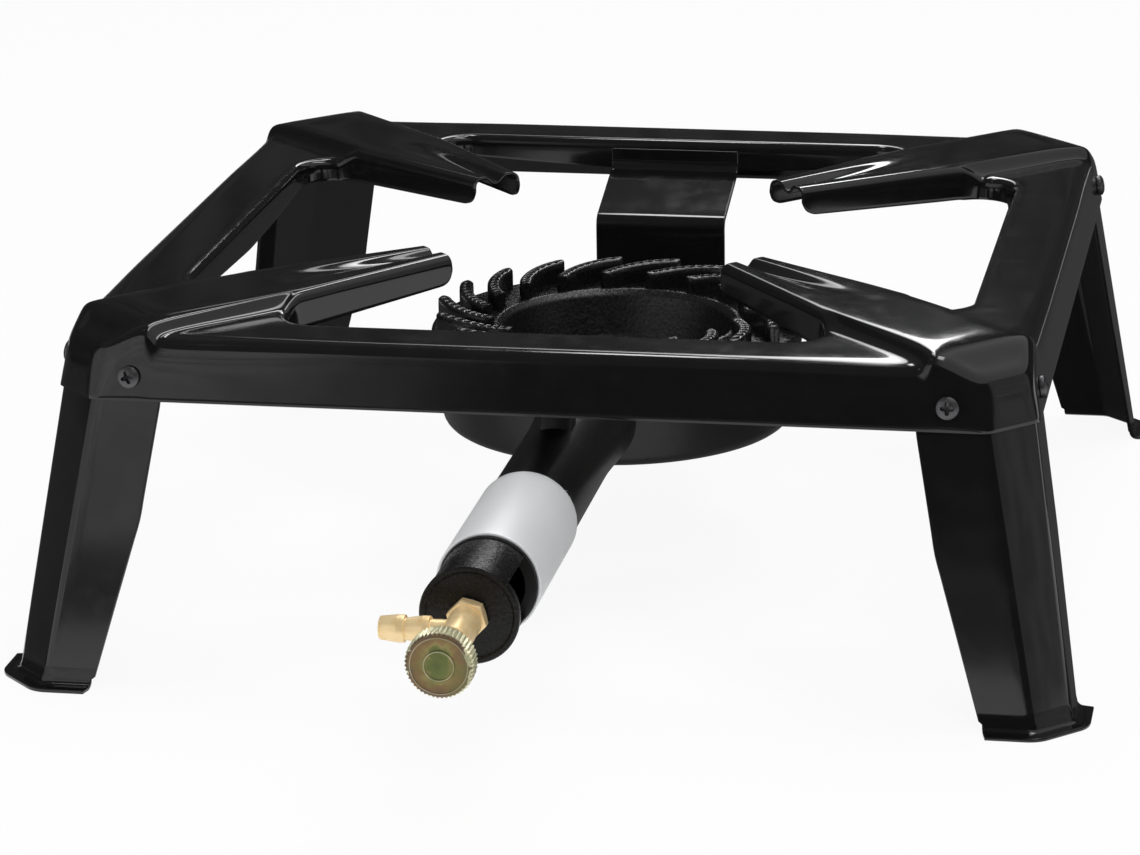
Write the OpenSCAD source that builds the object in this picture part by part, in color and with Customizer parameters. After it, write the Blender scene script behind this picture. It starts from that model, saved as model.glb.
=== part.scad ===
// Propane burner stand: a square pressed-steel frame with four diagonal pot supports on
// four sheet legs, and a cast-iron burner whose mixer tube carries a sliding air shutter
// and a brass needle valve with a hose tail.
// Millimetres, +Z up. The stand's feet are on Z = 0 and its front is towards -Y.

/* [Top frame] */
// Half the width of the frame, at the lower edge of its skirt
skirt_half = 206; // [196:1:230]
// Height of the flat rails above the ground
rail_top = 148; // [140:1:170]
// Height of the raised corner pads and pot supports above the rails
pad_rise = 6; // [4:0.5:9]
// Depth of the skirt below the rails
skirt_depth = 26; // [24:1:30]
// Lean of the skirt and legs out from the upright, in degrees
skirt_lean = 8.8; // [4:0.2:11]
// Thickness of the pressed sheet
sheet = 1.6; // [1.2:0.1:2]
// Length that the corner facet takes off each side of the skirt
corner_cut = 19.5; // [16:0.5:24]
// Outer radius of the bends between skirt and corner facet
bend_radius = 7; // [5:0.5:9]
// Outer radius of the shoulder between skirt and rail
shoulder_radius = 5; // [4:0.5:7]
// Half the width of the opening between the rails
opening_half = 170; // [160:1:174]
// Length that the facet of the opening takes off each side
opening_cut = 72; // [66:1:78]
// Depth of the lip that turns down round the opening
lip_depth = 17; // [14:1:21]
// Outer radius of the roll between rail and lip
lip_radius = 4; // [3:0.5:5]

/* [Pot supports] */
// Distance of a pot support's tip from the centre, along the diagonal
beam_tip = 97; // [80:1:115]
// Half the width of a pot support at its tip
beam_half = 12.5; // [10.5:0.5:14]
// Half the width of a corner pad's top at its outer end
pad_half = 24; // [20:1:28]
// Height of a pot support's side walls near its tip
beam_wall = 12.5; // [10:0.5:14]
// Depth of the groove along a pot support, at its tip
groove_depth = 3.2; // [2:0.2:4.5]
// Length of that groove, which runs out towards the corner
groove_length = 64; // [45:1:75]

/* [Legs] */
// Distance of a leg flange's inner edge from the middle of its side, at the skirt
leg_inner_top = 157; // [150:1:162]
// The same distance at the knee
leg_inner_knee = 166; // [160:1:172]
// The same distance at the foot
leg_inner_foot = 187; // [180:1:192]
// Height of the knee above the ground
knee_height = 72; // [55:1:90]
// Length that the leg's facet takes off each flange, at the foot
leg_cut_foot = 15.3; // [12:0.1:20]
// Width of the lip turned out at the foot
foot_lip = 6.8; // [4:0.2:9]

/* [Leg screws] */
// Distance of each screw from the middle of its side
screw_place = 170; // [166:1:176]
// Height of the screws below the rails
screw_drop = 16; // [13:1:18]
// Diameter of the screw's thread
screw_d = 5; // [4:0.5:6]
// Diameter of the screw's pan head
screw_head_d = 9.4; // [8:0.2:11]
// Height of the screw's pan head
screw_head_h = 3.2; // [2.4:0.2:4]
// Length of the screw under its head
screw_length = 12; // [10:1:14]
// Width across the flats of the nut
nut_flats = 8; // [7.5:0.5:10]
// Thickness of the nut
nut_h = 4; // [3:0.5:5]

/* [Rear bracket and front hanger] */
// Width of the strap that carries the burner
strap_width = 62; // [50:1:70]
// Thickness of both straps
strap_t = 2; // [1.5:0.1:3]
// Distance from the burner's axis to the strap's upright part
strap_reach = 122; // [112:1:130]
// Drop from the rails to the bend above the upright part
strap_drop = 27; // [24:1:32]
// Width of the hanger that holds the mixer tube at the front
hanger_width = 16; // [14:0.5:20]
// Diameter of the bolt that clamps the burner to the strap
bolt_d = 8; // [6:0.5:10]
// Width across the flats of that bolt's head and nut
bolt_flats = 13; // [12:0.5:16]

/* [Burner] */
// Height of the burner's underside above the ground
burner_base = 60; // [50:1:64]
// Radius of the burner's underside
burner_foot_r = 79; // [78:1:85]
// How much wider the burner is at its crown than at its underside
bowl_taper = 5; // [3:0.5:8]
// Height of the cast bowl, from underside to crown seat
bowl_h = 40; // [38:1:46]
// Wall of the castings
casting_wall = 5; // [4:0.5:6]
// Thickness of the crown's plate
crown_plate = 4; // [3:0.5:6]
// Height of the vanes above the crown's plate, at their outer ends
vane_h = 9.5; // [7:0.5:12]
// Number of swirl vanes
vane_count = 18; // [14:1:20]
// Width of a vane
vane_w = 6; // [4.5:0.5:7]
// Angle that a vane swirls through between its ends, in degrees
vane_swirl = 24; // [10:1:30]
// Diameter of the flame ports in the tops of the vanes
port_d = 2; // [1.6:0.1:2.4]
// Number of flame ports in each vane
port_count = 5; // [3:1:6]
// Radius of the crown's central dish at its rim
dish_r = 55; // [50:1:58]
// Depth of that dish
dish_depth = 18; // [12:1:20]

/* [Mixer tube] */
// Height of the tube's axis above the burner's underside
tube_rise = 22; // [20.5:0.5:24]
// Distance from the burner's axis to the face of the tube's closed end
tube_reach = 337.5; // [320:0.5:360]
// Outer diameter of the tube
tube_d = 38.5; // [36:0.5:39]
// Inner diameter of the tube
tube_bore = 30; // [27:0.5:32]
// Thickness of the tube's closed end
tube_end = 4; // [3:0.5:6]
// Length of the air windows beside the closed end
window_length = 31; // [24:1:34]
// Height of the air windows
window_height = 25; // [18:1:27]
// Distance from the burner's axis to the lug that hangs from the front strap
lug_place = 148; // [140:1:152]
// Height of the lug's top above the tube's axis
lug_rise = 27; // [25:0.5:30]
// Width of the square lug
lug_width = 13.5; // [12:0.5:16]

/* [Air shutter] */
// Length of the shutter sleeve
shutter_length = 80; // [70:1:84]
// Wall of the shutter sleeve
shutter_wall = 1.2; // [0.8:0.1:2]
// Diameter of the band of tube that the shutter runs on
shutter_seat_d = 39.4; // [39.2:0.1:40]
// Radial running clearance of moving pieces
running = 0.05; // [0.02:0.01:0.09]

/* [Gas valve] */
// Thread diameter of the valve's spigot
spigot_d = 10; // [9:0.5:12]
// Width across the flats of the lock nut
lock_flats = 14; // [13:0.5:17]
// Thickness of the lock nut
lock_h = 6; // [4:0.5:8]
// Diameter of the valve's barrel
barrel_d = 13; // [12:0.5:15]
// Length of the valve's barrel in front of the lock nut
barrel_length = 25; // [23:0.5:30]
// Reach of the hose tail from the valve's axis
tail_reach = 31; // [27:0.5:40]
// Diameter over the barbs of the hose tail
tail_d = 10.8; // [9:0.2:12]
// Bore of the hose tail
tail_bore = 4; // [3:0.2:5]
// Distance from the lock nut's front to the hose tail's axis
tail_setback = 11.5; // [9:0.5:14]
// Length of the gland nut
gland_h = 8; // [6:0.5:10]
// Width across the flats of the gland nut
gland_flats = 11; // [10:0.5:13]
// Diameter of the valve spindle
spindle_d = 4; // [3:0.2:5]
// Opening travel of the spindle
spindle_travel = 2; // [1:0.5:3]

/* [Knob] */
// Diameter of the knob over its knurls
knob_d = 26.8; // [22:0.2:32]
// Thickness of the knob
knob_h = 14; // [10:0.5:16]
// Number of knurls round the knob
knurls = 48; // [30:1:60]

/* [Hidden] */
$fn = 64;

ENAMEL = [0.035, 0.035, 0.04];
CAST_BLACK = [0.09, 0.088, 0.085];
SCREW_GREY = [0.24, 0.24, 0.25];
SILVER = [0.8, 0.81, 0.83];
BRASS = [0.83, 0.64, 0.3];
ZINC_YELLOW = [0.62, 0.58, 0.36];
FIBRE = [0.75, 0.73, 0.68];

fit = 0.05;        // gap between pieces that are only clamped together
over = 1;          // how far a cutter runs past what it cuts
arc_steps = 4;     // facets in each rounded bend of the sheet
thread_slack = 0.2; // radial room of a clearance hole

skirt_bottom = rail_top - skirt_depth;
pad_top = rail_top + pad_rise;
shoulder_z = rail_top - shoulder_radius;
lip_bottom = rail_top - lip_depth;
screw_z = rail_top - screw_drop;
tube_z = burner_base + tube_rise;
crown_z = burner_base + bowl_h;
burner_r = burner_foot_r + bowl_taper;
plate_top = crown_z + crown_plate;
tube_r = tube_d / 2;
seat_r = shutter_seat_d / 2;
diagonal = sqrt(2);
// An offset of a faceted square changes its facet's cut by this share of the offset
cut_share = 2 - diagonal;

// Half the width between opposite skirts at a height, and so of the legs below them
function lean(z) = skirt_half - (z - skirt_bottom) * tan(skirt_lean);

// Front and rear reach of the whole stand from the burner's axis
knob_gap = 4;      // between gland nut and knob with the valve shut
barrel_front = tube_reach + lock_h + barrel_length;
knob_back = barrel_front + gland_h + knob_gap;
front_reach = knob_back + knob_h;
foot_half = lean(0) - sheet - fit + foot_lip;
// The origin lies in the middle of the stand's full length, so the burner sits behind it
axis_y = (front_reach - foot_half) / 2;

module place() {
    translate([0, axis_y, 0]) children();
}

// ---- outlines -------------------------------------------------------------------------

function unit(v) = v / norm(v);
function reversed(list) = [for (i = [len(list) - 1:-1:0]) list[i]];
function mix(a, b, u) = a + (b - a) * u;
function polar(r, a) = r * [cos(a), sin(a)];

// The arc that rounds corner b between the neighbours a and c
function corner_arc(a, b, c, r, steps = arc_steps) =
    let (
        u = unit(a - b),
        w = unit(c - b),
        half = acos(u * w) / 2,
        centre = b + unit(u + w) * r / sin(half),
        p = b + u * r / tan(half) - centre,
        q = b + w * r / tan(half) - centre,
        start = atan2(p.y, p.x),
        sweep = (atan2(q.y, q.x) - start + 540) % 360 - 180
    )
    [for (i = [0:steps]) centre + polar(r, start + sweep * i / steps)];

// A closed outline with every corner rounded
function rounded(points, r) =
    let (n = len(points))
    [for (i = [0:n - 1]) each corner_arc(points[(i + n - 1) % n], points[i], points[(i + 1) % n], r)];

// A square of half width h whose corners are cut off by cut, with rounded bends
function faceted_square(h, cut, r) =
    rounded([[h, cut - h], [h, h - cut], [h - cut, h], [cut - h, h],
        [-h, h - cut], [-h, cut - h], [cut - h, -h], [h - cut, -h]], r);

// An open path thickened to its left by t, with mitred bends
function ribbon(path, t) =
    let (
        n = len(path),
        normal = [for (i = [0:n - 2]) let (d = unit(path[i + 1] - path[i])) [-d.y, d.x]],
        side = [for (i = [0:n - 1])
            let (a = normal[max(i - 1, 0)], b = normal[min(i, n - 2)], m = unit(a + b))
            path[i] + m * t / (m * a)]
    )
    concat(path, reversed(side));

// A closed solid through rings of equal length, each a list of 3-D points
module loft(rings) {
    n = len(rings[0]);
    last = len(rings) - 1;
    sides = [for (k = [0:last - 1], i = [0:n - 1])
        let (a = k * n + i, b = k * n + (i + 1) % n)
        each [[a, b + n, b], [a, a + n, b + n]]];
    polyhedron(
        points = [for (ring = rings) each ring],
        faces = concat([[for (i = [0:n - 1]) i]], [[for (i = [n - 1:-1:0]) last * n + i]], sides),
        convexity = 6
    );
}

function at_height(outline, z) = [for (p = outline) [p.x, p.y, z]];

// ---- pressed frame ----------------------------------------------------------------------

// The frame's outer form, drawn in by inset: skirt, shoulder and rail as one solid block
module skirt_block(inset) {
    r = shoulder_radius - inset;
    centre = lean(shoulder_z) - shoulder_radius;
    cut = corner_cut - inset * cut_share;
    bend = bend_radius - inset;
    low = inset > 0 ? skirt_bottom - over : skirt_bottom;
    loft(concat(
        [at_height(faceted_square(lean(low) - inset, cut, bend), low)],
        [for (a = [0:30:90])
            at_height(faceted_square(centre + r * cos(a), cut, bend), shoulder_z + r * sin(a))]
    ));
}

// The space between the rails, drawn out by grow, with the lip's roll at its upper edge
module opening_block(grow) {
    r = lip_radius - grow;
    centre = opening_half + lip_radius;
    roll_z = rail_top - lip_radius;
    cut = opening_cut + grow * cut_share;
    function ring(h, z) = at_height(faceted_square(h, cut, 2 * lip_radius), z);
    loft(concat(
        [ring(centre - r, skirt_bottom - 2 * over)],
        [for (a = [0:30:90]) ring(centre - r * cos(a), roll_z + r * sin(a))],
        [ring(centre, rail_top + over)]
    ));
}

// Pot support: a channel that widens into the corner pad, over the opening's corner facet
pad_spread = 9;    // how much further a pad reaches sideways at its foot than at its top
pad_root = 3.4;    // how far a pad's foot lies below the rails
edge_round = 2;    // rounding of a support's upper edges
tip_round = 5;     // rounding of the lower corners of the walls at the tip
tip_spare = 2;     // how far a support runs past its tip before it is cut
root_length = 17;  // length over which the walls run into the opening's facet
wall_foot = pad_top - beam_wall;
facet_r = (2 * opening_half - opening_cut) / diagonal;
// The pad stands on the flat of the rails, and slopes down to it before the corner's shoulder
flat_half = lean(shoulder_z) - shoulder_radius - 0.8;
pad_edge_r = flat_half * diagonal - pad_half - pad_spread;
slope_r = (2 * flat_half - corner_cut) / diagonal;
slope_half = corner_cut / diagonal;

// Half width of a support's top at a distance from the centre
function top_half(r) = mix(beam_half, pad_half, (r - beam_tip) / (pad_edge_r - beam_tip));

// Stations along a support, each [distance from centre, half width at top, half width at
// foot, top, foot]
function tip_station(u) = let (r = beam_tip + tip_round * u)
    [r, top_half(r), top_half(r), pad_top, wall_foot + tip_round * (1 - sqrt(u * (2 - u)))];
function wall_station(r, spread, drop) =
    [r, top_half(r), top_half(r) + pad_spread * spread, pad_top, wall_foot - drop];
function root_station(r) = [r, top_half(r), top_half(r) + pad_spread, pad_top, rail_top - pad_root];
stations = [
    tip_station(0), tip_station(0.3), tip_station(1),
    wall_station(facet_r - root_length, 0.4, 2.5),
    wall_station(facet_r - lip_radius / 2, 0.7, 3.5),
    root_station(facet_r + lip_radius + 1),
    root_station(pad_edge_r),
    [slope_r, slope_half, slope_half, rail_top - 1, rail_top - 2 * pad_root]
];

// Outline across a support: lateral place and height, drawn in by inset
function beam_section(s, inset) =
    let (
        w = s[1] - inset,
        foot = s[2] - inset,
        top = s[3] - inset,
        low = inset > 0 ? s[4] - beam_wall / 2 : s[4],
        g = groove_depth * max(0, 1 - (s[0] - beam_tip) / groove_length),
        knee = min(s[4] + 0.5, top - edge_round * 1.5),
        half = [[foot, low], [foot, knee], [w + edge_round * 0.2, top - edge_round * 1.2],
            [w - edge_round * 0.15, top - edge_round * 0.4], [w - edge_round, top],
            [w * 0.55, top], [w * 0.3, top - g * 0.7]]
    )
    concat([for (p = half) [-p.x, p.y]], [[0, top - g]], reversed(half));

// One support with its corner pad, along +X, as a solid drawn in by inset. It runs past the
// tip, which is then cut square.
module beam_block(inset) {
    last = len(stations) - 1;
    loft([for (i = [0:last])
        let (s = stations[i], r = s[0] - (i == 0 ? tip_spare + inset : i == last ? 2 * inset : 0))
        [for (p = reversed(beam_section(s, inset))) [r, p.x, p.y]]]);
}

module tip_cuts() {
    cut = tip_spare + 2 * sheet;
    for (a = [45:90:315])
        rotate([0, 0, a])
            translate([beam_tip - cut, -beam_half - over, skirt_bottom])
                cube([cut, 2 * (beam_half + over), pad_top - skirt_bottom + over]);
}

// Frame form at one inset: the ring of rails with its four pot supports
module frame_form(inset) {
    difference() {
        skirt_block(inset);
        opening_block(inset);
    }
    for (a = [45:90:315])
        rotate([0, 0, a]) beam_block(inset);
}

// Puts its children at each leg screw, +Z along the screw and out of the skirt
module at_leg_screws() {
    for (a = [0:90:270], s = [-1, 1])
        rotate([0, 0, a])
            translate([s * screw_place, -lean(screw_z), screw_z])
                rotate([90 - skirt_lean, 0, 0])
                    children();
}

module leg_screw_holes() {
    at_leg_screws()
        translate([0, 0, -screw_length])
            cylinder(d = screw_d + 2 * thread_slack, h = screw_length + over);
}

module top_frame() place() color(ENAMEL) difference() {
    frame_form(0);
    frame_form(sheet);
    // The lip is shallower than the skirt
    translate([0, 0, skirt_bottom - over])
        linear_extrude(lip_bottom - skirt_bottom + over)
            polygon(faceted_square(opening_half + 2 * lip_radius, opening_cut, bend_radius));
    tip_cuts();
    leg_screw_holes();
}

// ---- legs -------------------------------------------------------------------------------

// Open path round a leg: flange, facet, flange
function leg_path(h, cut, inner, r) = concat(
    [[inner, h]],
    corner_arc([inner, h], [h - cut, h], [h, h - cut], r),
    corner_arc([h - cut, h], [h, h - cut], [h, inner], r),
    [[h, inner]]
);

function leg_cut(z) = mix(leg_cut_foot, corner_cut - (sheet + fit) * cut_share, min(1, z / skirt_bottom));
function leg_half(z) = lean(z) - sheet - fit;
leg_bend = bend_radius - sheet - fit;

// Section of a leg at a height, one sheet thick
function leg_section(z, inner) = at_height(concat(
    leg_path(leg_half(z), leg_cut(z), inner, leg_bend),
    reversed(leg_path(leg_half(z) - sheet, leg_cut(z) - sheet * cut_share, inner, leg_bend - sheet))
), z);

// The leg of the corner at +X +Y
module leg() {
    difference() {
        union() {
            loft([for (ring = [leg_section(0, leg_inner_foot), leg_section(knee_height, leg_inner_knee),
                leg_section(skirt_bottom, leg_inner_top), leg_section(shoulder_z, leg_inner_top)])
                reversed(ring)]);
            linear_extrude(sheet) polygon(concat(
                leg_path(foot_half, leg_cut_foot + foot_lip, leg_inner_foot + 2, leg_bend),
                reversed(leg_path(leg_half(0) - sheet / 2, leg_cut_foot, leg_inner_foot, leg_bend - sheet))
            ));
        }
        leg_screw_holes();
    }
}

module leg_rear_right() place() color(ENAMEL) leg();
module leg_rear_left() place() color(ENAMEL) mirror([1, 0, 0]) leg();
module leg_front_right() place() color(ENAMEL) mirror([0, 1, 0]) leg();
module leg_front_left() place() color(ENAMEL) mirror([1, 0, 0]) mirror([0, 1, 0]) leg();

// ---- fasteners --------------------------------------------------------------------------

// A pan-head screw with a cross recess, its head's seat on Z = 0 and its thread down -Z
module pan_screw(d, head_d, head_h, length) {
    recess = head_d * 0.5;
    slot = head_d * 0.11;
    difference() {
        union() {
            rotate_extrude() polygon([[0, 0], [head_d / 2, 0], [head_d / 2, head_h * 0.35],
                [head_d * 0.4, head_h * 0.8], [head_d * 0.24, head_h], [0, head_h]]);
            translate([0, 0, -length]) cylinder(d = d, h = length + head_h / 2);
        }
        for (a = [0, 90])
            rotate([0, 0, a])
                translate([-recess / 2, -slot / 2, head_h * 0.45])
                    cube([recess, slot, head_h]);
    }
}

// A hexagon nut with its seat on Z = 0 and its body up +Z
module hex_nut(flats, h, bore_d) {
    difference() {
        cylinder(d = flats / cos(30), h = h, $fn = 6);
        translate([0, 0, -over]) cylinder(d = bore_d, h = h + 2 * over);
    }
}

module leg_screws() place() color(SCREW_GREY) at_leg_screws()
    translate([0, 0, fit]) pan_screw(screw_d, screw_head_d, screw_head_h, screw_length);

module leg_nuts() place() color(SCREW_GREY) at_leg_screws()
    translate([0, 0, -2 * sheet - 2 * fit - nut_h]) hex_nut(nut_flats, nut_h, screw_d + 2 * fit);

// ---- burner -----------------------------------------------------------------------------

// Strap from the rear lip, down behind the burner and forward under it
strap_lip_y = opening_half - fit - strap_t;
strap_tab = 9;     // how far its welded tab reaches down the lip
strap_end = 16;    // how far it runs past the bolt
strap_top = burner_base - fit;
strap_under = strap_top - strap_t;
bracket_path = [
    [strap_lip_y, rail_top - lip_radius], [strap_lip_y, rail_top - lip_radius - strap_tab],
    [strap_reach, rail_top - strap_drop], [strap_reach, strap_top],
    [-strap_end, strap_top]
];

module rear_bracket() place() color(ENAMEL) difference() {
    rotate([90, 0, 90])
        translate([0, 0, -strap_width / 2])
            linear_extrude(strap_width) polygon(ribbon(bracket_path, strap_t));
    translate([0, 0, strap_under - over])
        cylinder(d = bolt_d + 2 * thread_slack, h = strap_t + 2 * over);
}

// A turned shape along the tube: profile points are [radius, distance from the burner's axis]
module along_tube() {
    translate([0, 0, tube_z]) rotate([90, 0, 0]) children();
}

dish_floor = crown_z - dish_depth;
hub_top = dish_floor - crown_plate;
hub_r = bolt_d / 2 + 7;
foot_round = 5;    // rounding of the bowl's lower edge
neck_y = burner_foot_r - casting_wall;
neck_flare = 2.4;  // how much wider the tube's root is than the tube
neck_length = 55;
end_rim = 3;       // length of the raised rim round the tube's closed end
window_front = tube_reach - tube_end - 2;
// The shutter stands open just behind the windows, on a band that runs a little past it
shutter_front = window_front - window_length - 1;
shutter_back = shutter_front - shutter_length;
seat_start = shutter_back - 6;
lug_top = tube_z + lug_rise;
stop_d = 5;
stop_length = 3.5;

module bowl() {
    rotate_extrude() polygon([[0, burner_base], [burner_foot_r - foot_round, burner_base],
        [burner_foot_r - foot_round * 0.3, burner_base + foot_round * 0.3],
        [burner_foot_r, burner_base + foot_round], [burner_r, crown_z], [0, crown_z]]);
}

module mixer_tube() along_tube() {
    translate([0, 0, neck_y]) cylinder(r = tube_r, h = tube_reach - neck_y);
    translate([0, 0, neck_y]) cylinder(r1 = tube_r + neck_flare, r2 = tube_r, h = neck_length);
    translate([0, 0, seat_start]) cylinder(r = seat_r, h = shutter_front - seat_start);
    translate([0, 0, tube_reach - end_rim]) cylinder(r = seat_r, h = end_rim);
    // Stop that keeps the shutter off the burner
    translate([seat_r * 0.78, seat_r * 0.5, shutter_back - stop_length - 0.5])
        cylinder(d = stop_d, h = stop_length);
}

// Gas chamber, with a hub left for the clamping bolt
module gas_chamber() difference() {
    rotate_extrude() polygon([[0, burner_base + casting_wall],
        [burner_foot_r - casting_wall - foot_round / 2, burner_base + casting_wall],
        [burner_r - casting_wall, crown_z + over], [0, crown_z + over]]);
    translate([0, 0, burner_base]) cylinder(r = hub_r, h = hub_top - burner_base);
}

module burner_casting() place() color(CAST_BLACK) difference() {
    union() {
        bowl();
        mixer_tube();
        translate([-lug_width / 2, -lug_place - lug_width / 2, tube_z])
            cube([lug_width, lug_width, lug_rise]);
    }
    gas_chamber();
    translate([0, 0, burner_base - over]) cylinder(d = bolt_d + 2 * thread_slack, h = bowl_h);
    // The root of the tube is cut away where the crown sits
    translate([0, 0, crown_z]) cylinder(r = burner_r + fit, h = tube_r);
    along_tube() {
        translate([0, 0, neck_y - 2 * casting_wall])
            cylinder(d = tube_bore, h = tube_reach - tube_end - neck_y + 2 * casting_wall);
        translate([0, 0, neck_y]) cylinder(d = spigot_d + 2 * fit, h = tube_reach - neck_y + over);
    }
    for (s = [-1, 1])
        translate([s * tube_r, -window_front + window_length / 2, tube_z])
            cube([tube_r, window_length, window_height], center = true);
    translate([0, -lug_place, tube_z + tube_bore / 2 + 2]) cylinder(d = screw_d + 2 * fit, h = lug_rise);
}

rim_bead = 1.2;    // height of the bead round the dish, and of the plate's chamfer
vane_in = dish_r + 2;
vane_out = burner_r - rim_bead - 0.3;
// Point of a vane's centre line: u runs from its inner to its outer end
function vane_point(u, a) = polar(mix(vane_in + vane_w / 2, vane_out - vane_w / 2, u),
    a + vane_swirl * (1 - u) * (1 + 0.35 * u));
function vane_edge(a, side) = [for (i = [0:6])
    let (u = i / 6, p = vane_point(u, a), q = vane_point(u + 0.01, a), d = unit(q - p))
    p + side * vane_w / 2 * [-d.y, d.x]];
function vane_end(u, a, turn) =
    let (p = vane_point(u, a), q = vane_point(u + 0.01, a), d = unit(q - p), s = atan2(d.y, d.x))
    [for (k = [1:3]) p + polar(vane_w / 2, s + turn + k * 45)];
function vane_outline(a) = concat(vane_edge(a, -1), vane_end(1, a, -90), reversed(vane_edge(a, 1)),
    vane_end(0, a, 90));

module burner_crown() place() color(CAST_BLACK) difference() {
    union() {
        rotate_extrude() polygon([[0, hub_top], [dish_r - 6, hub_top],
            [dish_r - 1, crown_z], [burner_r, crown_z], [burner_r, plate_top - rim_bead],
            [burner_r - rim_bead, plate_top], [dish_r + 1, plate_top], [dish_r - 1, plate_top + rim_bead],
            [dish_r - 3, plate_top], [dish_r - 9, dish_floor + rim_bead], [dish_r - 12, dish_floor],
            [0, dish_floor]]);
        for (k = [0:vane_count - 1])
            translate([0, 0, plate_top - rim_bead / 2])
                linear_extrude(vane_h + rim_bead / 2) polygon(vane_outline(k * 360 / vane_count));
    }
    translate([0, 0, hub_top - over]) cylinder(d = bolt_d + 2 * thread_slack, h = crown_plate + 2 * over);
    for (k = [0:vane_count - 1], i = [0:port_count - 1]) {
        p = vane_point(mix(0.05, 0.86, i / (port_count - 1)), k * 360 / vane_count);
        translate([p.x, p.y, crown_z - over]) cylinder(d = port_d, h = crown_plate + vane_h + 3 * over);
    }
}

bolt_head_h = bolt_d * 0.66;
washer_t = bolt_d / 5;
burner_nut_h = bolt_d * 0.8;
bolt_tail = 3;     // length of thread that shows under the nut
washer_z = strap_under - fit - washer_t;
burner_nut_z = washer_z - fit - burner_nut_h;

module burner_bolt() place() color(SCREW_GREY) {
    translate([0, 0, dish_floor + fit]) cylinder(d = bolt_flats / cos(30), h = bolt_head_h, $fn = 6);
    translate([0, 0, burner_nut_z - bolt_tail])
        cylinder(d = bolt_d, h = dish_floor + over - burner_nut_z + bolt_tail);
}

module burner_washer() place() color(SCREW_GREY)
    translate([0, 0, washer_z]) difference() {
        cylinder(d = 2 * bolt_d, h = washer_t);
        translate([0, 0, -over]) cylinder(d = bolt_d + thread_slack, h = washer_t + 2 * over);
    }

module burner_nut() place() color(SCREW_GREY)
    translate([0, 0, burner_nut_z]) hex_nut(bolt_flats, burner_nut_h, bolt_d + 2 * fit);

// Strap from the front lip back and down to the lug on the tube
hanger_seat = lug_top + fit;
hanger_path = [
    [opening_half - fit, rail_top - lip_radius], [opening_half - fit, lip_bottom + strap_t],
    [lug_place + lug_width, hanger_seat], [lug_place - lug_width / 2, hanger_seat]
];

module front_hanger() place() color(ENAMEL) difference() {
    mirror([0, 1, 0]) rotate([90, 0, 90])
        translate([0, 0, -hanger_width / 2])
            linear_extrude(hanger_width) polygon(ribbon(reversed(hanger_path), strap_t));
    translate([0, -lug_place, lug_top - over])
        cylinder(d = screw_d + 2 * thread_slack, h = strap_t + 2 * over);
}

module hanger_screw() place() color(SCREW_GREY)
    translate([0, -lug_place, hanger_seat + strap_t + fit])
        pan_screw(screw_d, screw_head_d, screw_head_h, lug_rise - tube_bore / 2 - 2);

// ---- air shutter ------------------------------------------------------------------------

module air_shutter() place() color(SILVER) along_tube()
    translate([0, 0, shutter_back]) difference() {
        cylinder(r = seat_r + running + shutter_wall, h = shutter_length);
        translate([0, 0, -over]) cylinder(r = seat_r + running, h = shutter_length + 2 * over);
    }

// ---- gas valve --------------------------------------------------------------------------

nut_back = tube_reach + fit;
barrel_back = tube_reach + lock_h + 2 * fit;
spigot_back = tube_reach - tube_end - 8;
tail_y = tube_reach + lock_h + tail_setback;
seat_bore = 2.5;   // gas way from the needle's seat to the jet
gland_bore = spindle_d + 4;
packing_h = 6;
gland_thread = 4;
barb = 7;          // length of a barb's taper
land = 3;          // length of its full-diameter land
barb_depth = 1.1;
jet_flats = 8;
jet_cone = 4;
jet_hex = 5;
jet_bore = 0.9;
// The needle is longer than its travel, so that it never leaves its seat
needle_length = spindle_travel + 3;
needle_base = tail_y - tail_bore / 2 - 1;
knob_face = 4;     // metal left in front of the knob's bore
spindle_front = front_reach - knob_face - 1;

module spindle_bore(length) {
    cylinder(r = spindle_d / 2 + running, h = length);
}

module lock_nut() place() color(BRASS) along_tube()
    translate([0, 0, nut_back]) hex_nut(lock_flats, lock_h, spigot_d + 2 * fit);

// Runs its children along the hose tail, from the valve's axis outwards
module along_tail() {
    translate([0, -tail_y, tube_z]) rotate([0, -90, 0]) children();
}

// Barbed tail, its root on the valve's axis
module hose_tail() along_tail() {
    root_r = tail_d / 2 - barb_depth;
    cylinder(r = root_r, h = tail_reach - over);
    for (k = [1:2])
        translate([0, 0, tail_reach - k * (barb + land)]) {
            cylinder(r = tail_d / 2, h = land);
            translate([0, 0, land]) cylinder(r1 = tail_d / 2, r2 = root_r, h = barb);
        }
}

module valve_body() place() color(BRASS) difference() {
    union() {
        along_tube() {
            translate([0, 0, spigot_back]) cylinder(d = spigot_d, h = barrel_back - spigot_back + over);
            translate([0, 0, barrel_back]) cylinder(d = barrel_d, h = barrel_front - barrel_back);
        }
        hose_tail();
    }
    along_tube() {
        translate([0, 0, spigot_back - over]) cylinder(d = seat_bore, h = barrel_front - spigot_back);
        translate([0, 0, needle_base]) spindle_bore(barrel_front - needle_base);
        translate([0, 0, barrel_front - packing_h - gland_thread])
            cylinder(d = gland_bore, h = packing_h + gland_thread + over);
    }
    along_tail() cylinder(d = tail_bore, h = tail_reach + over);
}

module injector_jet() place() color(BRASS) along_tube()
    translate([0, 0, spigot_back - fit - jet_hex - jet_cone]) difference() {
        union() {
            cylinder(d1 = jet_flats / 2, d2 = jet_flats, h = jet_cone);
            translate([0, 0, jet_cone]) cylinder(d = jet_flats / cos(30), h = jet_hex, $fn = 6);
        }
        translate([0, 0, -over]) cylinder(d = jet_bore, h = jet_cone + over);
        translate([0, 0, jet_cone - over]) cylinder(d = seat_bore, h = jet_hex + 2 * over);
    }

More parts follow.
